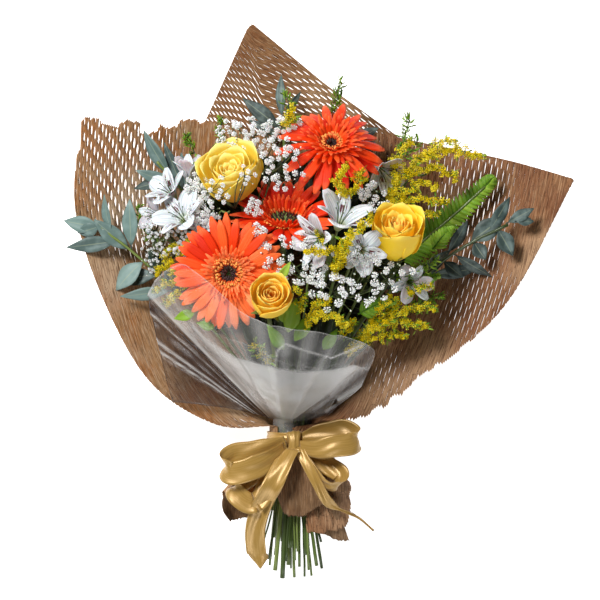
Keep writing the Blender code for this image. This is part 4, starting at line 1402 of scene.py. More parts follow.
# %% Alstroemeria blooms
# Each node stands for one bloom of its umbel; the others open round it: place, facing, size,
# spread and how shaded they are.
MORE_TEPALS = table("""
alstroemeria_left_upper:
-114 230 92, -0.5 0.6 0.6, 0.9 48 0
-128 208 92, -0.8 0.1 0.6, 0.7 58 0.3
-96 247 84, -0.1 0.9 0.3, 0.85 28 0.3
alstroemeria_left_lower:
-102 206 112, -0.45 0.55 0.7, 1 58 0
-84 196 110, 0.2 0.5 0.8, 0.6 42 0.25
alstroemeria_middle:
44 203 154, 0.25 0.75 0.6, 1.15 52 0
22 184 160, -0.75 -0.1 0.65, 1 54 0.25
alstroemeria_right:
62 174 152, 0.1 -0.1 0.98, 0.9 52 0.1
alstroemeria_top:
84 249 86, 0.5 -0.5 0.7, 0.95 44 0.15
alstroemeria_low:
110 144 114, 0.35 -0.2 0.9, 0.75 60 0.3
""")
for index, (name, blooms) in enumerate(MORE_TEPALS.items()):
    petals, stamens = Pile(), Pile()
    for place, (centre, facing, (size, spread, shade)) in enumerate(blooms):
        alstroemeria(petals, stamens, centre, facing, size, spread, 51 + 7 * index + place, shade)
    petals.piece(name + "_petals", white_skin, "alstroemeria_petal", [name])
    stamens.piece(name + "_stamens", stem_green, "alstroemeria_petal")


# %% [markdown]
# ## Baby's breath
#
# Baby's breath is a cloud: fine dark green branches that fork again and again, each ending in a
# white pompom a few millimetres across or in a tiny round bud. A pompom is a dozen and a half small
# petals on three rings; with so many of them, each petal is only a flattened three-sided cone. The
# clouds are laid out by their middle, reach, how many pompoms they hold, and how big those are.

# %% A pompom, a bud and their branches
cone = dict(vertices=3, radius1=0.9 * MM, radius2=0, depth=2.0 * MM, end_fill_type="NGON")
small_petal_model = new_model(bpy.ops.mesh.primitive_cone_add, **cone)
bpy.ops.transform.translate(value=(0, 0, 1.0 * MM))
bpy.ops.transform.resize(value=(1, 0.34, -1), center_override=(0, 0, 1.0 * MM))
bpy.ops.mesh.normals_make_consistent(inside=False)
SMALL_PETAL = read_shape(small_petal_model)


def small_rosette(rings, seed):
    """Small petals on rings: (count, rise in degrees, reach, size)."""
    rng = np.random.default_rng(seed)
    parts = Pile()
    for count, rise, reach, size in rings:
        for k in range(count):
            angle = 2 * math.pi * (k + rng.uniform(-0.2, 0.2)) / count + rise
            tilt = math.radians(rise + rng.normal(0, 9))
            way = spoke(angle) * math.cos(tilt) + UP * math.sin(tilt)
            placed = aimed(way * reach, way, (0, 0, 1), size * rng.uniform(0.85, 1.15))
            placed[:3, :3] = placed[:3, [0, 2, 1]] * np.array([1, -1, 1])
            parts.add(SMALL_PETAL, placed)
    return Shape(*map(np.concatenate, (parts.points, parts.corners, parts.sides, parts.uvs)))


POMPOMS = [
    small_rosette([(8, 4, 0.7, 1.15), (7, 40, 0.5, 1.0), (4, 74, 0.5, 0.8)], seed)
    for seed in (61, 62, 63)
]
bud_model = new_model(bpy.ops.mesh.primitive_ico_sphere_add, subdivisions=1, radius=1.0 * MM)
bpy.ops.transform.resize(value=(0.85, 0.85, 1.15), center_override=(0, 0, 0))
BUD = read_shape(bud_model)

gyp_white = Finish("babys_breath_white", 0.6, Subsurface_Weight=0.1, Subsurface_Scale=0.002)
gyp_colour = gyp_white.toned(
    (0.0, (122, 142, 94)), (0.25, (208, 218, 190)), (0.5, (248, 250, 248)), (1.0, (255, 255, 255))
)
gyp_white.colour(gyp_colour)
# Painted glow: the white florets give off light of their own, brightening the shade between them.
gyp_white.glow(gyp_colour, 0.14)
gyp_white.bump(gyp_white.noise(2600.0), 0.2, 0.5)

branch_green = Finish("branch_green", 0.5)
branch_noise = branch_green.noise(160.0)
branch_green.colour(
    branch_green.mix(branch_green.band(branch_noise, 0.4, 0.6), (44, 54, 26), (88, 104, 52))
)
branch_green.bump(branch_noise, 0.2)
BRANCHES = Pile()


def cloud(florets, fork, middle, reach, count, size, rng, buds):
    """A cloud of pompoms round middle, on branches from fork: reach is its half size each way."""
    low = np.array(middle) - (0, 0, reach[2] * 0.9 + 4)
    ends = [low + np.array(reach) * rng.uniform(-0.6, 0.6, 3) for _ in range(max(3, count // 7))]
    for end in ends:
        bend = (np.array(fork) + end) / 2 + rng.normal(0, 2.5, 3)
        BRANCHES.add(tube(catmull([fork, bend, end], 2), [0.7, 0.6, 0.55, 0.5, 0.45], 4))
    for k in range(count):
        share = math.sqrt((k + 0.5) / count)
        spot = spoke(k * GOLDEN) * share + UP * math.sqrt(max(0.0, 1 - share**2)) * 0.9
        spot = np.array(middle) + (spot + rng.normal(0, 0.07, 3)) * reach
        nearest = ends[int(np.argmin([np.linalg.norm(spot - e) for e in ends]))]
        way = unit(spot - nearest + rng.normal(0, 1.0, 3) + (0, 0, 4))
        bend = (spot + nearest) / 2 - (0, 0, 1.5)
        BRANCHES.add(tube([nearest, bend, spot - way * 0.8], [0.42, 0.34, 0.3], 3))
        if rng.random() < buds:
            placed = aimed(spot, way, rng.normal(0, 1, 3), size * rng.uniform(0.28, 0.42))
            florets.add(BUD, placed, rng.uniform(0.15, 0.7))
        else:
            placed = facing_frame(spot, way)
            placed[:3, :3] *= size * rng.uniform(0.36, 0.5)
            florets.add(POMPOMS[k % 3], placed, rng.uniform(0.5, 1.0))


# %% The clouds
# The fork, and for each cloud its middle, reach each way, how many, pompom size, share of buds.
CLOUDS = table("""
babys_breath_top:
-36 236 56
-42 279 92, 32 17 12, 72 2 0.15
-4 290 84, 15 10 10, 20 2.1 0.2
-88 228 98, 12 18 12, 44 2.1 0.25
babys_breath_over_rose:
-52 212 133
-68 226 150, 18 12 6, 13 2 0.2
-42 238 152, 9 12 4, 9 1.9 0.4
babys_breath_middle:
-20 245 96
-9 252 126, 20 25 10, 34 2.2 0.2
-34 212 124, 8 8 6, 7 2.4 0.1
babys_breath_left:
-100 174 80
-112 190 98, 26 22 12, 190 1.15 0.45
-82 208 112, 16 14 10, 50 1.8 0.3
-128 168 80, 12 18 8, 44 1.2 0.6
babys_breath_centre:
14 146 132
4 164 156, 30 24 8, 34 2.7 0.2
-30 184 152, 10 12 5, 8 3.1 0
babys_breath_right:
48 130 118
50 148 150, 40 30 10, 48 2.8 0.2
72 222 118, 13 15 8, 14 2.6 0.2
92 158 132, 16 14 8, 16 2.6 0.5
""")
for index, (name, ((fork,), *clouds)) in enumerate(CLOUDS.items()):
    florets = Pile()
    rng = np.random.default_rng(70 + index)
    for middle, reach, (count, size, buds) in clouds:
        cloud(florets, fork, middle, reach, int(count), size, rng, buds)
    florets.piece(name + "_florets", gyp_white, "babys_breath", [name])

# %% [markdown]
# ## Goldenrod and the green tips
#
# Goldenrod carries plumes: an arching branch with short side branches on its upper side, each
# crowded with yellow florets two millimetres across. The same maker draws the young green tips,
# with small pointed leaves in place of florets.

# %% Plumes
CROWD = [small_rosette([(4, 15, 0.25, 0.8), (2, 75, 0.2, 0.65)], seed) for seed in (81, 82)]
goldenrod_skin = Finish("goldenrod_yellow", 0.65, Specular_IOR_Level=0.2)
goldenrod_colour = goldenrod_skin.toned(
    (0.0, (72, 82, 8)), (0.35, (186, 166, 4)), (0.7, (246, 216, 6)), (1.0, (255, 240, 70))
)
goldenrod_skin.colour(goldenrod_colour)
# Painted glow: the yellow florets give off light of their own.
goldenrod_skin.glow(goldenrod_colour, 0.12)
goldenrod_skin.bump(goldenrod_skin.noise(2200.0), 0.2, 0.5)
TIP_LEAF = blade(
    "tip_leaf", 7, 1.9, [(0.5, 0), (1.0, 0.2), (0.8, 0.2), (0.1, 0)], columns=2,
    creases=(0.2, -0.1, 0.2), thickness=0.25
)


def leaf_finish(leaf, colour, rib, cells, wax=None):
    """Leaf skin. rib: width, share and colour of the midrib; cells: how fine and how deep."""
    if wax:
        colour = leaf.mix(leaf.band(leaf.noise(90.0), 0.42, 0.7) * 0.35, colour, wax)
    width, share, rib_colour = rib
    midrib = leaf.band(leaf.across().away_from(0.5), width, 0.0)
    leaf.colour(leaf.mix(midrib * share, colour, rib_colour))
    across, along, depth, strength = cells
    leaf.bump(leaf.uv_noise((across, along)), depth, strength)


fresh_leaf = Finish(
    "leaf_fresh", 0.5, Specular_IOR_Level=0.25, Subsurface_Weight=0.1, Subsurface_Scale=0.002
)
fresh_shades = fresh_leaf.toned(
    (0.0, (28, 54, 10)), (0.35, (70, 112, 18)), (0.7, (118, 162, 40)), (1.0, (164, 196, 74))
)
leaf_finish(fresh_leaf, fresh_shades, (0.07, 0.4, (150, 176, 84)), (7, 12, 0.3, 0.6))


def plume(crowd, points, reach, thick, rng, shapes, bright, size, leafy, leaves):
    """An arching branch: reach is the length of its side branches, thick how many florets each."""
    line = catmull(points, 6)
    BRANCHES.add(tube(line, np.linspace(0.8, 0.4, len(line)), 4))
    length = lengths(line)
    count = int(length[-1] / 1.7)
    for k in range(count):
        along = (k + 0.5) / count * length[-1]
        base = np.array([np.interp(along, length, line[:, i]) for i in range(3)])
        ahead = np.array([np.interp(along + 1, length, line[:, i]) for i in range(3)]) - base
        way = unit(unit(ahead + 1e-6) * 0.55 + rng.normal(0, 0.62, 3) + (0, 0, 0.42))
        share = along / length[-1]
        tall = reach * (
            0.35 + 0.65 * math.sin(math.pi * min(1.0, 0.15 + 0.8 * share))
        ) * rng.uniform(0.6, 1.1)
        BRANCHES.add(tube([base, base + way * tall * 0.85], [0.35, 0.25], 3))
        for i in range(int(thick)):
            spot = base + way * tall * (
                0.3 + 0.75 * (i + rng.random()) / thick
            ) + rng.normal(0, 1.0, 3)
            lean = unit(way + rng.normal(0, 0.6, 3) + (0, 0, 0.5))
            if rng.random() < leafy:
                leaf = TIP_LEAF.bent(rng.normal(0.2, 0.3))
                placed = aimed(spot, lean + way, rng.normal(0, 1, 3), rng.uniform(0.5, 0.9))
                leaves.add(leaf, placed, rng.uniform(0.35, 0.9))
                continue
            placed = facing_frame(spot, lean)
            placed[:3, :3] *= size * rng.uniform(0.75, 1.25)
            crowd.add(
                shapes[i % len(shapes)], placed, float(np.clip(rng.normal(bright, 0.3), 0, 1))
            )


# Each plume: side branch length, florets on each, brightness and share of leaves, then its points.
PLUMES = table("""
goldenrod_right_top:
8 8 0.75 0.08, 86 214 76, 98 240 84, 124 262 88, 150 268 86, 176 261 80
6 7 0.72 0.1, 98 234 82, 96 256 88, 104 270 92, 110 276 90
6 7 0.62 0.12, 104 244 84, 122 250 90, 142 248 88, 152 240 84
5 6 0.8 0.08, 120 258 86, 134 274 92, 150 276 90
goldenrod_right_middle:
5 6 0.62 0.12, 92 206 82, 104 220 92, 124 222 96, 142 218 92
5 7 0.7 0.1, 94 212 84, 108 232 96, 124 236 98, 134 232 94
4 5 0.45 0.2, 96 196 74, 118 208 86, 136 208 88
goldenrod_centre:
6.5 8 0.62 0.08, 38 160 160, 44 176 178, 56 190 184, 70 202 182
4.5 6 0.6 0.08, 44 176 178, 30 173 182, 12 171 180
6 7 0.5 0.1, 38 148 150, 42 164 174, 50 182 184
3 4 0.4 0.2, 20 190 156, 26 184 164, 30 180 170
goldenrod_ball:
8 11 0.7 0.05, 44 214 118, 46 226 138, 42 238 148, 48 246 146
7 9 0.5 0.05, 48 222 130, 58 232 144, 62 244 146
6 8 0.66 0.1, -6 290 92, -3 300 104, 0 306 106
goldenrod_left:
6 8 0.72 0.1, -100 148 90, -112 160 96, -116 172 98, -106 182 100
5 8 0.7 0.1, -106 170 98, -96 180 102, -86 184 102
5 7 0.6 0.15, -104 146 90, -118 144 92, -128 138 88
5 6 0.66 0.15, -100 142 88, -110 132 94, -118 124 92
4 6 0.7 0.1, -104 156 92, -120 158 94, -126 152 90
goldenrod_low_right:
6.5 7 0.7 0.22, 66 96 86, 86 114 106, 108 122 112, 130 122 108
6 7 0.66 0.3, 72 104 92, 80 122 116, 94 132 120
6 7 0.7 0.22, 80 108 96, 104 108 104, 124 104 98
5 6 0.55 0.3, 86 118 106, 110 136 116, 128 142 112
goldenrod_low_front:
6.5 7 0.66 0.22, 50 78 76, 64 90 92, 84 96 98, 104 96 94
6 7 0.6 0.25, 52 84 80, 48 98 106, 56 112 120
6 7 0.7 0.2, 60 92 90, 74 104 108, 90 110 112
goldenrod_low_centre:
6 6 0.5 0.4, -20 70 100, -28 80 118, -36 90 124
5 7 0.5 0.3, 4 118 146, 10 130 156, 2 138 160
7 9 0.78 0.12, 10 104 138, 24 116 148, 38 114 146, 48 106 136
6 8 0.7 0.2, 12 108 140, 22 124 152, 34 130 152
""")
green_tip_leaves = Pile()
for index, (name, plumes) in enumerate(PLUMES.items()):
    crowd = Pile()
    rng = np.random.default_rng(90 + index)
    for (reach, thick, bright, leafy), *points in plumes:
        plume(
            crowd, points, reach * 1.1, thick, rng, CROWD, bright, 1.08, leafy + 0.06,
            green_tip_leaves
        )
    crowd.piece(name + "_plumes", goldenrod_skin, "goldenrod", [name])

GREEN_TIPS = table("""
tips:
7 6, 30 262 60, 36 292 60, 42 318 62, 44 334 60
6 6, 4 290 50, -2 306 62, -6 322 60
6 5, 96 256 60, 104 278 62, 110 300 60
5 4, 104 262 60, 112 270 62, 118 280 60
4 5, -70 268 70, -67 290 62, -66 302 58
5 6, -84 246 78, -92 268 72, -100 284 66
5 6, -120 178 70, -138 194 74, -144 214 72
7 6, 106 150 110, 118 160 116, 132 168 112
5 6, 100 112 92, 120 128 96, 138 132 94
""")
rng = np.random.default_rng(101)
for (reach, thick), *points in GREEN_TIPS["tips"]:
    plume(green_tip_leaves, points, reach, thick, rng, [TIP_LEAF], 0.6, 1.0, 0.98, green_tip_leaves)
green_tip_leaves.piece("green_tips", fresh_leaf, "fern_leaf", ["green_tip_top", "green_tip_right"])

# %% [markdown]
# ## Leaves
#
# Four kinds: blue-grey eucalyptus in pairs at the edges, a fern frond, dark lance-shaped leaves that
# fill the gaps between the blooms, whose darkest shades are painted shade for those gaps, and a few
# pale ones in front. Each is one modelled blade with a folded midrib. The eucalyptus gets a bloom of
# pale wax, drawn as broad soft noise.

# %% Leaf shapes and finishes
EUCALYPTUS_LEAF = blade(
    "eucalyptus_leaf", 34, 17,
    [
        (0.06, 0), (0.5, 0.2), (0.84, 0.3), (1.0, 0.2), (0.95, 0), (0.72, -0.2), (0.4, -0.5),
        (0.05, -0.8)
    ],
    columns=4, creases=(1.3, 0.45, -0.2, 0.45, 1.3), thickness=0.45
)
LANCE_LEAF = blade(
    "lance_leaf", 44, 13,
    [(0.08, 0), (0.6, 0.4), (0.95, 0.6), (1.0, 0.4), (0.8, 0), (0.45, -0.6), (0.05, -1.4)],
    columns=4, creases=(1.6, 0.5, -0.4, 0.5, 1.6), thickness=0.4
)
LEAFLET = blade(
    "fern_leaflet", 20, 4.2, [(0.9, 0), (1.0, 0.2), (0.92, 0.2), (0.7, 0), (0.14, -0.3)], columns=2,
    creases=(0.25, -0.15, 0.25), thickness=0.3
)

wax_leaf = Finish("eucalyptus_wax", 0.55, Sheen_Weight=0.1)
wax_shades = wax_leaf.toned(
    (0.0, (34, 46, 42)), (0.4, (66, 86, 82)), (0.75, (104, 130, 124)), (1.0, (142, 166, 160))
)
leaf_finish(wax_leaf, wax_shades, (0.05, 0.5, (160, 170, 140)), (5, 9, 0.35, 0.5), (150, 172, 168))
# Dark leaves: deep green, and near black at low tone, which is painted shade in the gaps between
# blooms.
dark_leaf = Finish("leaf_dark", 0.45, Specular_IOR_Level=0.3)
dark_shades = dark_leaf.toned((0.0, (10, 16, 6)), (0.5, (26, 40, 14)), (1.0, (62, 86, 30)))
leaf_finish(dark_leaf, dark_shades, (0.06, 0.5, (92, 112, 60)), (6, 12, 0.4, 0.6))
print("leaf shapes", len(EUCALYPTUS_LEAF.points), len(LANCE_LEAF.points), len(LEAFLET.points))

# %% Eucalyptus sprigs
# Each leaf: where its stalk leaves the stem, where its tip is, its width and its shade.
EUCALYPTUS_LEAVES = table("""
eucalyptus_left:
-150 174 70, -184 203 84, 17 0.62
-160 184 74, -210 178 78, 15 0.45
-176 196 76, -214 202 76, 16 0.8
-150 176 72, -152 222 86, 15 0.75
-168 190 76, -178 226 84, 11 0.7
-138 166 68, -168 140 70, 20 0.85
-124 152 66, -168 150 62, 17 0.35
-122 150 66, -134 178 78, 13 0.4
-112 138 64, -160 132 74, 13 0.8
-178 198 78, -200 190 80, 14 0.6
-108 136 62, -118 160 70, 14 0.4
eucalyptus_upper_left:
-112 242 70, -142 286 80, 14 0.6
-106 234 66, -146 250 72, 13 0.65
-112 240 68, -150 236 66, 12 0.25
-100 226 64, -120 276 72, 11 0.35
-96 220 62, -104 266 74, 16 0.5
-92 214 60, -90 258 66, 13 0.4
eucalyptus_top:
-10 290 38, -47 320 40, 15 0.1
-10 300 40, -12 342 42, 10 0.42
-12 284 36, -42 300 38, 9 0.08
-8 304 38, 8 326 40, 7 0.3
56 276 40, 80 292 48, 14 0.02
62 268 40, 78 278 44, 12 0.05
eucalyptus_right:
164 182 78, 196 206 84, 20 0.16
182 192 80, 202 224 86, 13 0.3
190 196 82, 204 170 84, 17 0.22
168 184 78, 178 166 76, 15 0.2
198 200 82, 224 214 84, 11 0.35
144 172 72, 164 202 76, 14 0.1
140 166 70, 158 150 66, 13 0.12
126 152 66, 176 158 70, 13 0.1
118 146 62, 146 178 70, 15 0.06
206 202 84, 224 202 84, 9 0.3
150 172 72, 186 150 66, 12 0.1
""")
rng = np.random.default_rng(111)
for name, sprig in EUCALYPTUS_LEAVES.items():
    leaves = Pile()
    for base, tip, (width, tone) in sprig:
        base, tip = np.array(base, float), np.array(tip, float)
        reach = np.linalg.norm(tip - base)
        stalk = base + (tip - base) * 0.08
        leaves.add(tube([base, stalk + (0, 0, 0.4)], [0.8, 0.6], 5), None, 0.2)
        shape = EUCALYPTUS_LEAF.bent(rng.normal(-0.12, 0.22), rng.normal(0, 0.25))
        up = (rng.normal(0, 0.28), rng.normal(0, 0.28), 1)
        leaves.add(shape, aimed(stalk, tip - stalk, up, (width / 17, reach * 0.92 / 34, 1)), tone)
    leaves.piece(name + "_leaves", wax_leaf, "eucalyptus_leaf", [name])

# %% The fern
fern_line = catmull(SPRAY_ROUTES["fern_right"][0] + [(188, 244, 66)], 9)
fern = Pile()
fern.add(tube(fern_line, np.linspace(1.2, 0.4, len(fern_line)), 6), None, 0.3)
rng = np.random.default_rng(121)
fern_count = len(fern_line)
for k in range(3, fern_count - 1):
    share = k / fern_count
    way = unit(fern_line[k + 1] - fern_line[k - 1])
    side = unit(np.cross(way, (0, 0, 1)))
    reach = (0.5 + 0.5 * min(1.0, share * 5)) * (1.02 - share) ** 0.75
    for hand in (-1, 1):
        aim = side * hand * 0.92 + way * 0.5 + (0, 0, 0.22 + rng.normal(0, 0.06))
        shape = LEAFLET.bent(-0.35 + rng.normal(0, 0.1))
        shade = 0.46 + 0.24 * share + rng.normal(0, 0.08) + 0.12 * hand
        fern.add(shape, aimed(fern_line[k], aim, UP, (1.05, 1.15 * reach, 1)), shade)
TWIGS = [
    ((96, 140, 100), (124, 162, 112)), ((60, 116, 110), (96, 128, 116)),
    ((96, 136, 90), (138, 152, 98)), ((130, 176, 80), (150, 196, 84)),
]
for base, tip in TWIGS:
    twig = catmull([base, (np.array(base) + tip) / 2 + (0, 3, 4), tip], 5)
    fern.add(tube(twig, np.linspace(0.9, 0.4, len(twig)), 5), None, 0.3)
    for k in range(1, len(twig) - 1):
        way = unit(twig[k + 1] - twig[k - 1])
        side = unit(np.cross(way, (0, 0, 1)))
        for hand in (-1, 1):
            aim = side * hand + way * 0.7 + (0, 0, 0.3)
            placed = aimed(twig[k], aim, UP, (1.1, 0.55 * (1.1 - k / len(twig)), 1))
            fern.add(LEAFLET.bent(-0.3), placed, rng.uniform(0.5, 0.85))
fern.piece("fern_frond", fresh_leaf, "fern_leaf", ["fern_right"])

# %% Filler leaves between the blooms
filler = Pile()
rng = np.random.default_rng(131)
for k in range(230):
    share = math.sqrt((k + 0.5) / 230)
    spot = spoke(k * GOLDEN) * share * (104, 84, 0) + (4, 186, 0)
    height = 104 - 44 * share**2
    base = spot * (0.82, 0.82, 1) + (1, 26, height - 34)
    way = unit(spot - (4, 150, 0)) + (0, 0, 0.5) + rng.normal(0, 0.3, 3)
    size = rng.uniform(0.7, 1.05)
    leaf = LANCE_LEAF.bent(rng.normal(-0.4, 0.3), rng.normal(0, 0.4))
    filler.add(leaf, aimed(base, way, UP, size), rng.uniform(0.0, 0.75))
# A fan of leaves lower down, behind the film.
for k in range(70):
    share = (k + 0.5) / 70
    angle = math.radians(60 + 54 * ((k * 0.618) % 1.0))
    far = 34 + 62 * share
    base = spoke(angle) * far + UP * (TIE_HEIGHT + 10 + far * 0.62)
    way = spoke(angle) + (0, 0, 0.85) + rng.normal(0, 0.16, 3)
    leaf = LANCE_LEAF.bent(rng.normal(-0.2, 0.2))
    filler.add(leaf, aimed(base, way, UP, rng.uniform(0.6, 0.95)), rng.uniform(0.1, 0.9))
filler.piece("filler_leaves", dark_leaf, "green_stem")

# %% Pale leaves in front
pale = Pile()
PALE_LEAVES = table("""
pale:
-6 108 150, -14 134 162, 13 0.85
-4 100 146, 4 128 160, 15 0.8
2 92 140, 18 116 146, 13 0.7
-88 118 132, -106 112 136, 10 0.75
-70 104 140, -84 108 146, 9 0.6
-10 150 160, -4 158 172, 8 0.95
-8 84 130, -20 104 146, 12 0.6
28 84 120, 40 100 130, 11 0.5
""")
for base, tip, (width, tone) in PALE_LEAVES["pale"]:
    base, tip = np.array(base, float), np.array(tip, float)
    reach = np.linalg.norm(tip - base)
    pale.add(
        LANCE_LEAF.bent(-0.3), aimed(base, tip - base, (0.1, 0, 1), (width / 13, reach / 44, 1)),
        tone
    )
pale.piece("pale_leaves", fresh_leaf, "fern_leaf")
BRANCHES.piece("fine_branches", branch_green, "green_stem")


# %% [markdown]
# ## Clear film
#
# Two layers of thin film stand in front of the stems, inside the paper. Film is nearly invisible
# until it creases: then each fold shows as a fine bright line, and where it is stretched round the
# bundle it turns milky. Here the bright lines are painted highlights, the milky white is partly the
# film's own haze and partly painted reflection, and where the bundle behind lies in shade the film
# is painted dark. So the film is a Principled shader mixed with a Transparent one, and how much of
# it shows is a number stored at each point: low over the petals, higher where it is milky, and
# highest along the creases, which are ridges in the mesh as well.

# %% The film's finish
clear_film = Finish("clear_film", 0.3, Coat_Weight=0.35, Coat_Roughness=0.16)
# How much of the film shows: partly its own haze, partly painted highlights and painted shade.
film_showing = clear_film.attribute("haze")
film_dark = clear_film.attribute("tone")
film_wisps = clear_film.noise(24.0, 3.0)
# The film's milky white is partly its own haze and partly painted reflection.
film_light = clear_film.mix(clear_film.band(film_wisps, 0.3, 0.7), (206, 204, 202), (236, 235, 232))
# Painted shade: where the bundle behind lies in shade, the film turns dark brown, then near black.
film_colour = clear_film.mix(clear_film.band(film_dark, 0.0, 0.5), film_light, (62, 48, 48))
clear_film.colour(clear_film.mix(clear_film.band(film_dark, 0.5, 1.0), film_colour, (24, 20, 18)))
# Painted glints: small spots where more of the dark film shows, so that its gloss catches light.
film_glints = clear_film.noise(330.0, 2.0)
glints = clear_film.band(film_glints, 0.66, 0.72) * clear_film.band(
    clear_film.noise(30.0, 1.0), 0.52, 0.62
)
clear_film.bump(clear_film.noise(55.0, 5.0), 1.6, 0.45)
see_through = clear_film.node("ShaderNodeBsdfTransparent")
shown_inputs = {0: film_showing, 1: 0.82 + film_wisps * 0.36, 2: glints * film_dark}
shown_share = clear_film.node(
    "ShaderNodeMath", {"operation": "MULTIPLY_ADD", "use_clamp": True}, shown_inputs
)
film_mix = clear_film.node(
    "ShaderNodeMixShader", None,
    {0: shown_share, 1: see_through, 2: Field(clear_film, clear_film.shader.outputs[0])}
)
clear_film.feed(clear_film.tree.nodes["Material Output"].inputs["Surface"], film_mix)

# %% Creases, haze, painted highlights and painted shade
# The folds fan out from the tie: angle in degrees from the left, how much shows, how dark it is,
# and how far the fold stands out, in mm at 100 mm from the tie.
# Folds that show much and are not dark are painted highlights; dark ones are painted shade.
FOLDS = table("""
folds:
0 0.05 0.2 0, 13 0.05 0.2 0, 15 0.62 0 3, 16.5 0.38 0.4 0, 25 0.48 0.45 -1, 33.5 0.5 0.5 0,
34.6 0.78 0 4, 35.6 0.66 0.62 0, 37 0.72 0.05 2.5, 38.4 0.68 0.62 -1, 42 0.72 0.64 -2,
43 0.68 0.15 1, 44 0.7 0.62 -1, 46 0.66 0.55 0, 47 0.82 0 4, 48.5 0.6 0.12 1, 50.5 0.62 0.1 0,
52 0.84 0 4, 54 0.7 0 1, 60 0.7 0.02 -1, 63 0.78 0 2, 66 0.7 0.02 0, 78 0.72 0 -2, 84 0.78 0 2,
88 0.7 0.02 0, 100 0.66 0.04 -2, 110 0.7 0.03 1, 114 0.8 0 3, 118 0.68 0.05 0, 128 0.68 0.04 1,
134 0.76 0 3, 137 0.5 0.1 0, 142 0.34 0.3 -1, 146 0.66 0 2, 150 0.25 0.4 0, 180 0.1 0.3 0
""")
FAN_POINT = (-8.0, 2.0)
MILKY_TOP = [(-90, 106), (-77, 92), (-51, 77), (-23, 69), (6, 64), (36, 65), (56, 69), (80, 62)]
SECOND_EDGE = [(-16, 66), (-13, 84), (-6, 90), (14, 83), (36, 77), (62, 88)]
# Painted glosses: dark ones are painted shade, pale ones painted highlights. Each: from, to, half
# width, softness, how much shows and how dark it is.
GLOSSES = [
    ((6, 14), (30, 37), 5.0, 1.5, 0.82, 0.95),
    ((14, 16), (38, 33), 4.2, 1.5, 0.82, 0.95),
    ((-34, 44), (-16, 16), 2.4, 1.0, 0.7, 0.12),
    ((2, 20), (30, 42), 2.0, 1.0, 0.7, 0.12),
]


def distance_to(points, line):
    """How far each place in plan is from a line of segments."""
    nearest = np.full(points.shape[:-1], 1e9)
    for a, b in zip(line, line[1:]):
        a, b = np.array(a, float), np.array(b, float)
        way = b - a
        share = np.clip(((points - a) @ way) / (way @ way), 0, 1)
        nearest = np.minimum(nearest, np.linalg.norm(points - a - share[..., None] * way, axis=-1))
    return nearest


def smooth_step(value, low, high):
    share = np.clip((value - low) / (high - low), 0, 1)
    return share * share * (3 - 2 * share)


def fold_angle(points):
    """The angle of each place round the tie, in degrees from the left."""
    return np.degrees(
        np.arctan2(np.maximum(points[..., 1] - FAN_POINT[1], 0), FAN_POINT[0] - points[..., 0])
    )


def film_look(points, outer):
    """The share of the film that shows, with painted highlights, and how dark its painted shade is.
    """
    angle = fold_angle(points)
    plan = points[..., :2]
    angles, showings, darks, _ = zip(*FOLDS["folds"][0])
    haze, dark = np.interp(angle, angles, showings), np.interp(angle, angles, darks)
    above = points[..., 1] - np.interp(points[..., 0], *zip(*MILKY_TOP))
    over_top = smooth_step(above, -2, 3) * smooth_step(angle, 50, 54)
    haze = haze * (1 - over_top) + (0.2 + 0.1 * np.sin(angle * 0.5)) * over_top
    dark = dark * (1 - over_top)
    far = np.linalg.norm(plan - np.array(FAN_POINT), axis=-1)
    far_corner = smooth_step(far, 110, 160) * smooth_step(angle, 44, 50)
    haze = haze * (1 - 0.55 * far_corner)
    if outer:
        return haze * 0.22, dark * 0.3
    edge = np.exp(-((distance_to(plan, SECOND_EDGE) / 1.3) ** 2))
    haze = np.maximum(haze, 0.55 * edge)
    milky_rim = np.exp(-((above / 1.4) ** 2)) * smooth_step(angle, 50, 54)
    haze = np.maximum(haze, 0.6 * milky_rim)
    for a, b, reach, soft, shown, shade in GLOSSES:
        gloss = smooth_step(reach - distance_to(plan, [a, b]), -soft, soft)
        haze, dark = haze * (1 - gloss) + shown * gloss, dark * (1 - gloss) + shade * gloss
    return haze, dark


# %% Hang the film
def film_sheet(name, guides, radius, neck, node, outer, seed):
    surface, _ = sheet_surface(guides, radius, neck, across=20, along=32)
    columns, rows = surface.shape[:2]
    across, along = np.gradient(surface, axis=0), np.gradient(surface, axis=1)
    normal = normalised(np.cross(across, along))
    free = smooth_step(np.linspace(0, 1, rows), 0.02, 0.4)[None, :]
    angles, _, _, heights = zip(*FOLDS["folds"][0])
    far = np.linalg.norm(surface[..., :2] - np.array(FAN_POINT), axis=2) / 100
    ridge = np.interp(
        fold_angle(surface), angles, heights
    ) * np.clip(far, 0, 1.2) * (0.5 if outer else 0.9)
    wander = surface.astype(np.float32).astype(float) * 0.04 + (seed, 0, 0)
    ripple = np.array([[noise.noise(spot) for spot in column] for column in wander])
    surface = surface + normal * ((ridge + ripple * 2.6) * free)[..., None]
    haze, dark = film_look(surface, outer)
    hem = np.zeros((columns, rows))
    hem[:, -1] = hem[0] = hem[-1] = 0.3
    haze = np.clip(haze + hem, 0, 0.95)
    places = np.moveaxis(np.indices((columns, rows)), 0, -1)
    pile = Pile()
    pile.add(quad_shape(surface, grid_quads(columns, rows), places), None, dark.ravel())
    made = pile.piece(name, clear_film, "clear_film", [node])
    shown = made.data.attributes.new("haze", "FLOAT", "POINT")
    shown.data.foreach_set("value", (1 - np.sqrt(1 - haze.ravel())).astype(np.float32))
    thickened(made, 0.1)
    FlatMap(surface, 0)


film_sheet(
    "film_inner", GUIDES["inner"], INNER_FILM_RADIUS, (-2.0, 16.0), "cellophane_inner", False, 3.1
)
film_sheet(
    "film_outer", GUIDES["outer"], OUTER_FILM_RADIUS, (1.0, 14.0), "cellophane_outer", True, 7.7
)

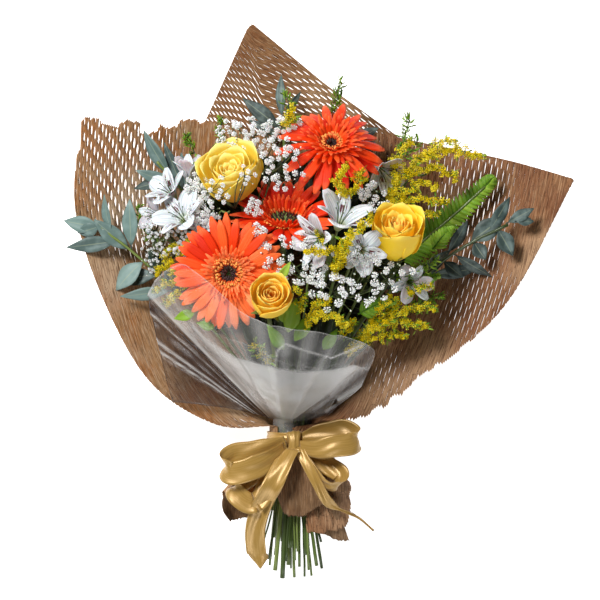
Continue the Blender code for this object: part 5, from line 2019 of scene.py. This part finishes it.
# %% [markdown]
# ## The satin ribbon
#
# The bow is one 25 mm satin ribbon: two pairs of loops, two tails and a short turn over the knot,
# which pleats. Each strip is laid along its middle line with its width turned a given way, and gets
# the slight trough and waves that satin keeps. The weave is drawn across the strip by its UV map,
# and the long floats of satin make it shine.

# %% Satin
satin = Finish("gold_satin", 0.3, Metallic=0.18, Specular_IOR_Level=0.6, Sheen_Weight=0.15)
weave_inputs = {"Vector": satin.uv(), "Scale": 1.3, "Distortion": 0.4}
satin_weave = satin.node("ShaderNodeTexWave", {"bands_direction": "Y"}, weave_inputs)
satin_lines = satin.uv_noise((0.9, 0.03), 1.0, 2.0)
satin_colour = satin.mix(satin.band(satin_lines, 0.3, 0.7), (172, 134, 62), (186, 148, 78))
satin_edge = satin.band(satin.across().away_from(0.0), 11.2, 12.0)
satin.colour(satin.mix(satin_edge * 0.5, satin_colour, (132, 94, 34)))
satin.rough(0.3 + satin_lines * 0.08)
satin.bump(satin_weave * 0.3 + satin_lines * 0.5, 0.08, 0.4)

BAND_TOP = TIE_HEIGHT + 24.4
# Each strip: its width, its middle line above the band, and which way its width runs along it.
RIBBON_STRIPS = table("""
ribbon_loop_left_upper:
22
-6 -5 5, -20 -10 9, -38 -14 12, -54 -16 14, -63.5 -24 19, -58 -32 25, -42 -29 27, -24 -21 22,
-7 -9 12
0.2 0.95 0, 0.1 1 0.1, 0 1 0, 0 1 -0.1, 0.05 1 0.1, 0.05 1 0, 0.1 1 0, 0.25 0.95 0, 0.3 0.9 0
ribbon_loop_left_lower:
20
-6 -9 3, -24 -26 6, -44 -39 9, -55 -45 12, -51 -54 16, -39 -61 17, -28 -54 17, -20 -34 13,
-8 -15 8
0.7 0.6 0, 0.6 0.8 0.1, 0.4 0.9 0, 0.45 0.85 0.2, 0.6 0.8 0.1, 0.75 0.65 0, 0.97 -0.1 0.2,
0.9 -0.35 0.1, 0.85 -0.4 0.1
ribbon_loop_right_upper:
21
6 -4 5, 20 1 9, 36 5 12, 49 7 15, 60 0 19, 55 -5 25, 38 -7 27, 22 -10 22, 7 -9 12
-0.2 0.95 0, -0.15 1 0, -0.1 1 0, -0.1 1 -0.1, -0.3 0.95 0, -0.15 1 0, -0.15 1 0, -0.25 0.95 0,
-0.3 0.9 0
ribbon_loop_right_lower:
18
7 -9 3, 20 -18 5, 34 -27 7, 45 -34 11, 44 -43 15, 36 -46 17, 26 -40 16, 16 -26 12, 8 -12 8
0.6 0.75 0.1, 0.6 0.75 0.1, 0.6 0.75 0, 0.7 0.65 0.2, 0.6 0.7 0.4, 0.3 0.5 0.8, 0.3 0.4 0.85,
0.3 0.5 0.8, 0.4 0.6 0.7
ribbon_tail_left:
19
-2 -10 13, -10 -26 22, -20 -46 25, -30 -66 16, -35 -88 6, -34 -110 -4, -32 -126 -8
0.95 0.35 0.1, 0.93 0.35 0.1, 0.93 0.35 0, 0.96 0.25 0.1, 0.99 0.05 0.15, 0.99 -0.05 0.1,
0.99 -0.05 0.1
ribbon_tail_right:
10.4
5 -9 12, 14 -25 18, 23 -42 19, 31 -57 13, 39 -65 6, 50 -70 0, 63 -77 -6, 77 -89 -11
0.85 0.5 0, 0.85 0.5 0.1, 0.9 0.4 0.1, 0.9 0.4 0.2, 0.5 0.7 0.5, 0.2 0.6 0.8, 0.4 0.9 0.1,
0.3 0.5 0.8
""")


# %% Lay the ribbon
def strip_grid(line, ways, halves, trough, wave, seed, columns=10):
    """Points of a strip: a row of points across for each point of its middle line."""
    tangents = normalised(np.gradient(line, axis=0))
    ways = normalised(ways - tangents * (ways * tangents).sum(axis=1)[:, None])
    normals = np.cross(tangents, ways)
    spots = np.linspace(-1, 1, columns + 1)
    rows = []
    for k, (point, way, normal, half) in enumerate(zip(line, ways, normals, halves)):
        lift = trough * (spots**2 - 0.33)
        lift += wave * np.sin(spots * 5.2 + k * 0.22 + seed) * np.sin(k * 0.13 + seed)
        rows.append(point + spots[:, None] * half * way + lift[:, None] * normal)
    return np.array(rows), spots


def strip_piece(name, rows, spots, halves, closed=False):
    """A thin closed strip from its grid; a closed one joins its last row to its first."""
    count, width = rows.shape[:2]
    length = lengths(rows[:, width // 2])
    quads = grid_quads(count, width, closed)[:, [0, 3, 2, 1]]
    place_across = spots[None, :] * halves[:, None]
    uv = np.stack([place_across, np.broadcast_to(length[:, None], (count, width))], axis=-1)
    pile = Pile()
    pile.add(quad_shape(rows, quads, uv))
    made = pile.piece(name.replace("ribbon", "satin"), satin, "satin_ribbon", [name])
    thickened(made, 0.3)
    wide, long = 2 * max(halves) * MM, (length[-1] + (length[1] if closed else 0)) * MM
    ahead, beside = np.roll(rows, -1, 0)[:, :-1] - rows[:, :-1], rows[:, 1:] - rows[:, :-1]
    area = np.linalg.norm(np.cross(ahead, beside), axis=2)[: None if closed else -1].sum()
    area, flat = round(min(area * MM * MM, wide * long), 6), (round(wide, 4), round(long, 4))
    print(name, "cut", *flat)


for index, (name, ([(wide,)], middle, widths)) in enumerate(RIBBON_STRIPS.items()):
    line = catmull([(x, y, BAND_TOP + rise) for x, y, rise in middle], 9)
    ways = catmull(widths, 9)
    share = np.linspace(0, 1, len(line))
    pinch = np.ones(len(line))
    if "loop" in name:
        pinch = 0.62 + 0.38 * smooth_step(np.minimum(share, 1 - share), 0.0, 0.2)
    if name == "ribbon_tail_right":
        pinch = np.interp(share, [0, 0.5, 0.58, 0.66, 1], [0.9, 1.0, 0.7, 0.26, 0.14])
    halves = wide / 2 * pinch
    rows, spots = strip_grid(line, ways, halves, 1.0, 0.8, index * 1.7)
    if name == "ribbon_tail_left":
        rows[..., 1] += np.abs(spots - 0.15) * 13.0 * smooth_step(share, 0.8, 1.0)[:, None]
    strip_piece(name, rows, spots, halves)

# %% The knot and the band
turns = np.linspace(0, 2 * math.pi, 40, endpoint=False)
sines = np.sin(turns)
knot_line = np.stack(
    [1 + 0.8 * sines, -5 + 10.5 * np.cos(turns), BAND_TOP + 6.0 + 5.4 * sines], axis=1
)
knot_halves = 6.2 + 1.0 * np.cos(2 * turns)
knot_ways = np.broadcast_to([1.0, 0.12, 0.0], knot_line.shape)
knot_rows, knot_spots = strip_grid(knot_line, knot_ways, knot_halves, -1.8, 0.0, 0.0, 14)
pleat = 0.5 * np.cos(knot_spots * 9)[None, :] * (0.6 + 0.4 * sines)[:, None]
knot_rows = knot_rows + (knot_line - knot_line.mean(axis=0))[:, None] / 9 * pleat[..., None]
strip_piece("ribbon_knot", knot_rows, knot_spots, knot_halves, closed=True)

band_turns = np.linspace(0, 360, 96, endpoint=False)
band_line = np.array([neck_point(turn, 24.2, -2.5) for turn in band_turns])
band_halves = np.full(len(band_line), 6.5)
band_ways = np.broadcast_to([0.0, 1.0, 0.0], band_line.shape)
band_rows, band_spots = strip_grid(band_line, band_ways, band_halves, 0.3, 0.0, 0.0, 12)
bulge = 0.45 * np.sin(band_spots * 8)[None, :, None] * (
    band_line - band_line.mean(axis=0)
)[:, None] / 24
strip_piece("ribbon_band", band_rows + bulge, band_spots, band_halves, closed=True)

# %% [markdown]
# ## The paper below the tie
#
# Below the bow the paper's lower end spreads again. Its middle comes forward in one broad fold,
# a torn piece hangs at the right, a corner curls up at the left, and the torn edge sheds strips.
# These are small sheets of the same paper, unslit, each from its own guide columns.

# %% Folds and shreds
SKIRT = table("""
paper_fold_front:
-5 -12 50, -11 -35 51, -14 -55 51, -8 -73 50
-2 -12 53, -4 -36 57, -4 -57 58, -1 -75 56
2 -12 53, 6 -37 56, 9 -58 55, 10 -75 52
5 -13 52, 14 -38 58, 18 -57 59, 21 -68 57
8 -14 50, 22 -38 52, 30 -52 52, 34 -62 50
paper_curl_left:
-22 -30 46, -52 -43 46, -65 -56 44, -66 -70 38, -59 -82 30
-20 -34 38, -48 -48 30, -60 -60 24, -60 -72 20, -55 -82 17
-18 -38 34, -38 -52 24, -46 -62 18, -46 -72 14, -43 -80 13
-12 -40 32, -26 -54 24, -30 -64 18, -30 -74 14, -26 -82 13
paper_torn_right:
20 -40 46, 30 -62 44, 32 -82 38, 30 -95 30
26 -38 47, 38 -60 47, 41 -80 42, 42 -100 33
32 -36 45, 46 -56 44, 46 -74 40, 54 -101 30
paper_point_right:
14 -12 50, 28 -32 50, 38 -56 46
22 -8 50, 38 -28 51, 48 -54 45
28 -4 46, 42 -24 44, 55 -49 38
""")
paper_smooth = kraft_finish(
    "kraft_smooth", (128, 97, 67), (168, 138, 108), (84, 60, 40), (112, 80, 52)
)
skirt_tears = np.random.default_rng(31)
for name, columns in SKIRT.items():
    bands = [catmull(spots, 8) for spots in zip(*columns)]
    grid = np.array([catmull(column, 8) for column in zip(*bands)])
    wide, tall = grid.shape[:2]
    for i, j in np.ndindex(wide, tall):
        grid[i, j, 2] += noise.noise((i * 0.35, j * 0.06, len(name))) * 1.6
    grid[:, -1, 1] += skirt_tears.uniform(0, 2.2, wide)
    uv = np.stack([-grid[..., 1], grid[..., 0]], axis=-1)
    pile = Pile()
    pile.add(quad_shape(grid, grid_quads(wide, tall), uv))
    made = pile.piece(name, paper_smooth, "kraft_paper")
    thickened(made, PAPER)
    FlatMap(grid, 0)

shreds = Pile()
rng = np.random.default_rng(32)
for k in range(26):
    start = np.array([rng.uniform(18, 38), rng.uniform(-66, -58), rng.uniform(46, 50)])
    way = np.array([rng.normal(0, 9), rng.uniform(-24, -8), rng.uniform(-8, 0)])
    sway = rng.normal(0, 3, 3)
    line = catmull([start, start + way * 0.5 + sway, start + way], 4)
    shreds.add(tube(line, np.linspace(0.55, 0.2, len(line)), 4))
shreds.piece("paper_shreds", paper_smooth, "kraft_paper")

# %% [markdown]
# ## The binding twine
#
# The twine that holds the stems is hidden under the wrap, and its CAD ring has the right shape. It
# stays, with a twisted fibre finish.

# %% Twine
jute = Finish("jute", 0.9)
jute_place = jute.node("ShaderNodeTexCoord", output=3)
twist_inputs = {"Vector": jute_place, "Scale": 900.0, "Distortion": 3.0, "Detail": 3.0}
jute_twist = jute.node("ShaderNodeTexWave", {"bands_direction": "DIAGONAL"}, twist_inputs)
jute.colour(jute.mix(jute_twist, (116, 86, 50), (176, 142, 96)))
jute.bump(jute_twist, 0.4)
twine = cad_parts["binding_twine"]
twine.data.materials.clear()
twine.data.materials.append(jute.material)
print("twine keeps its CAD ring")
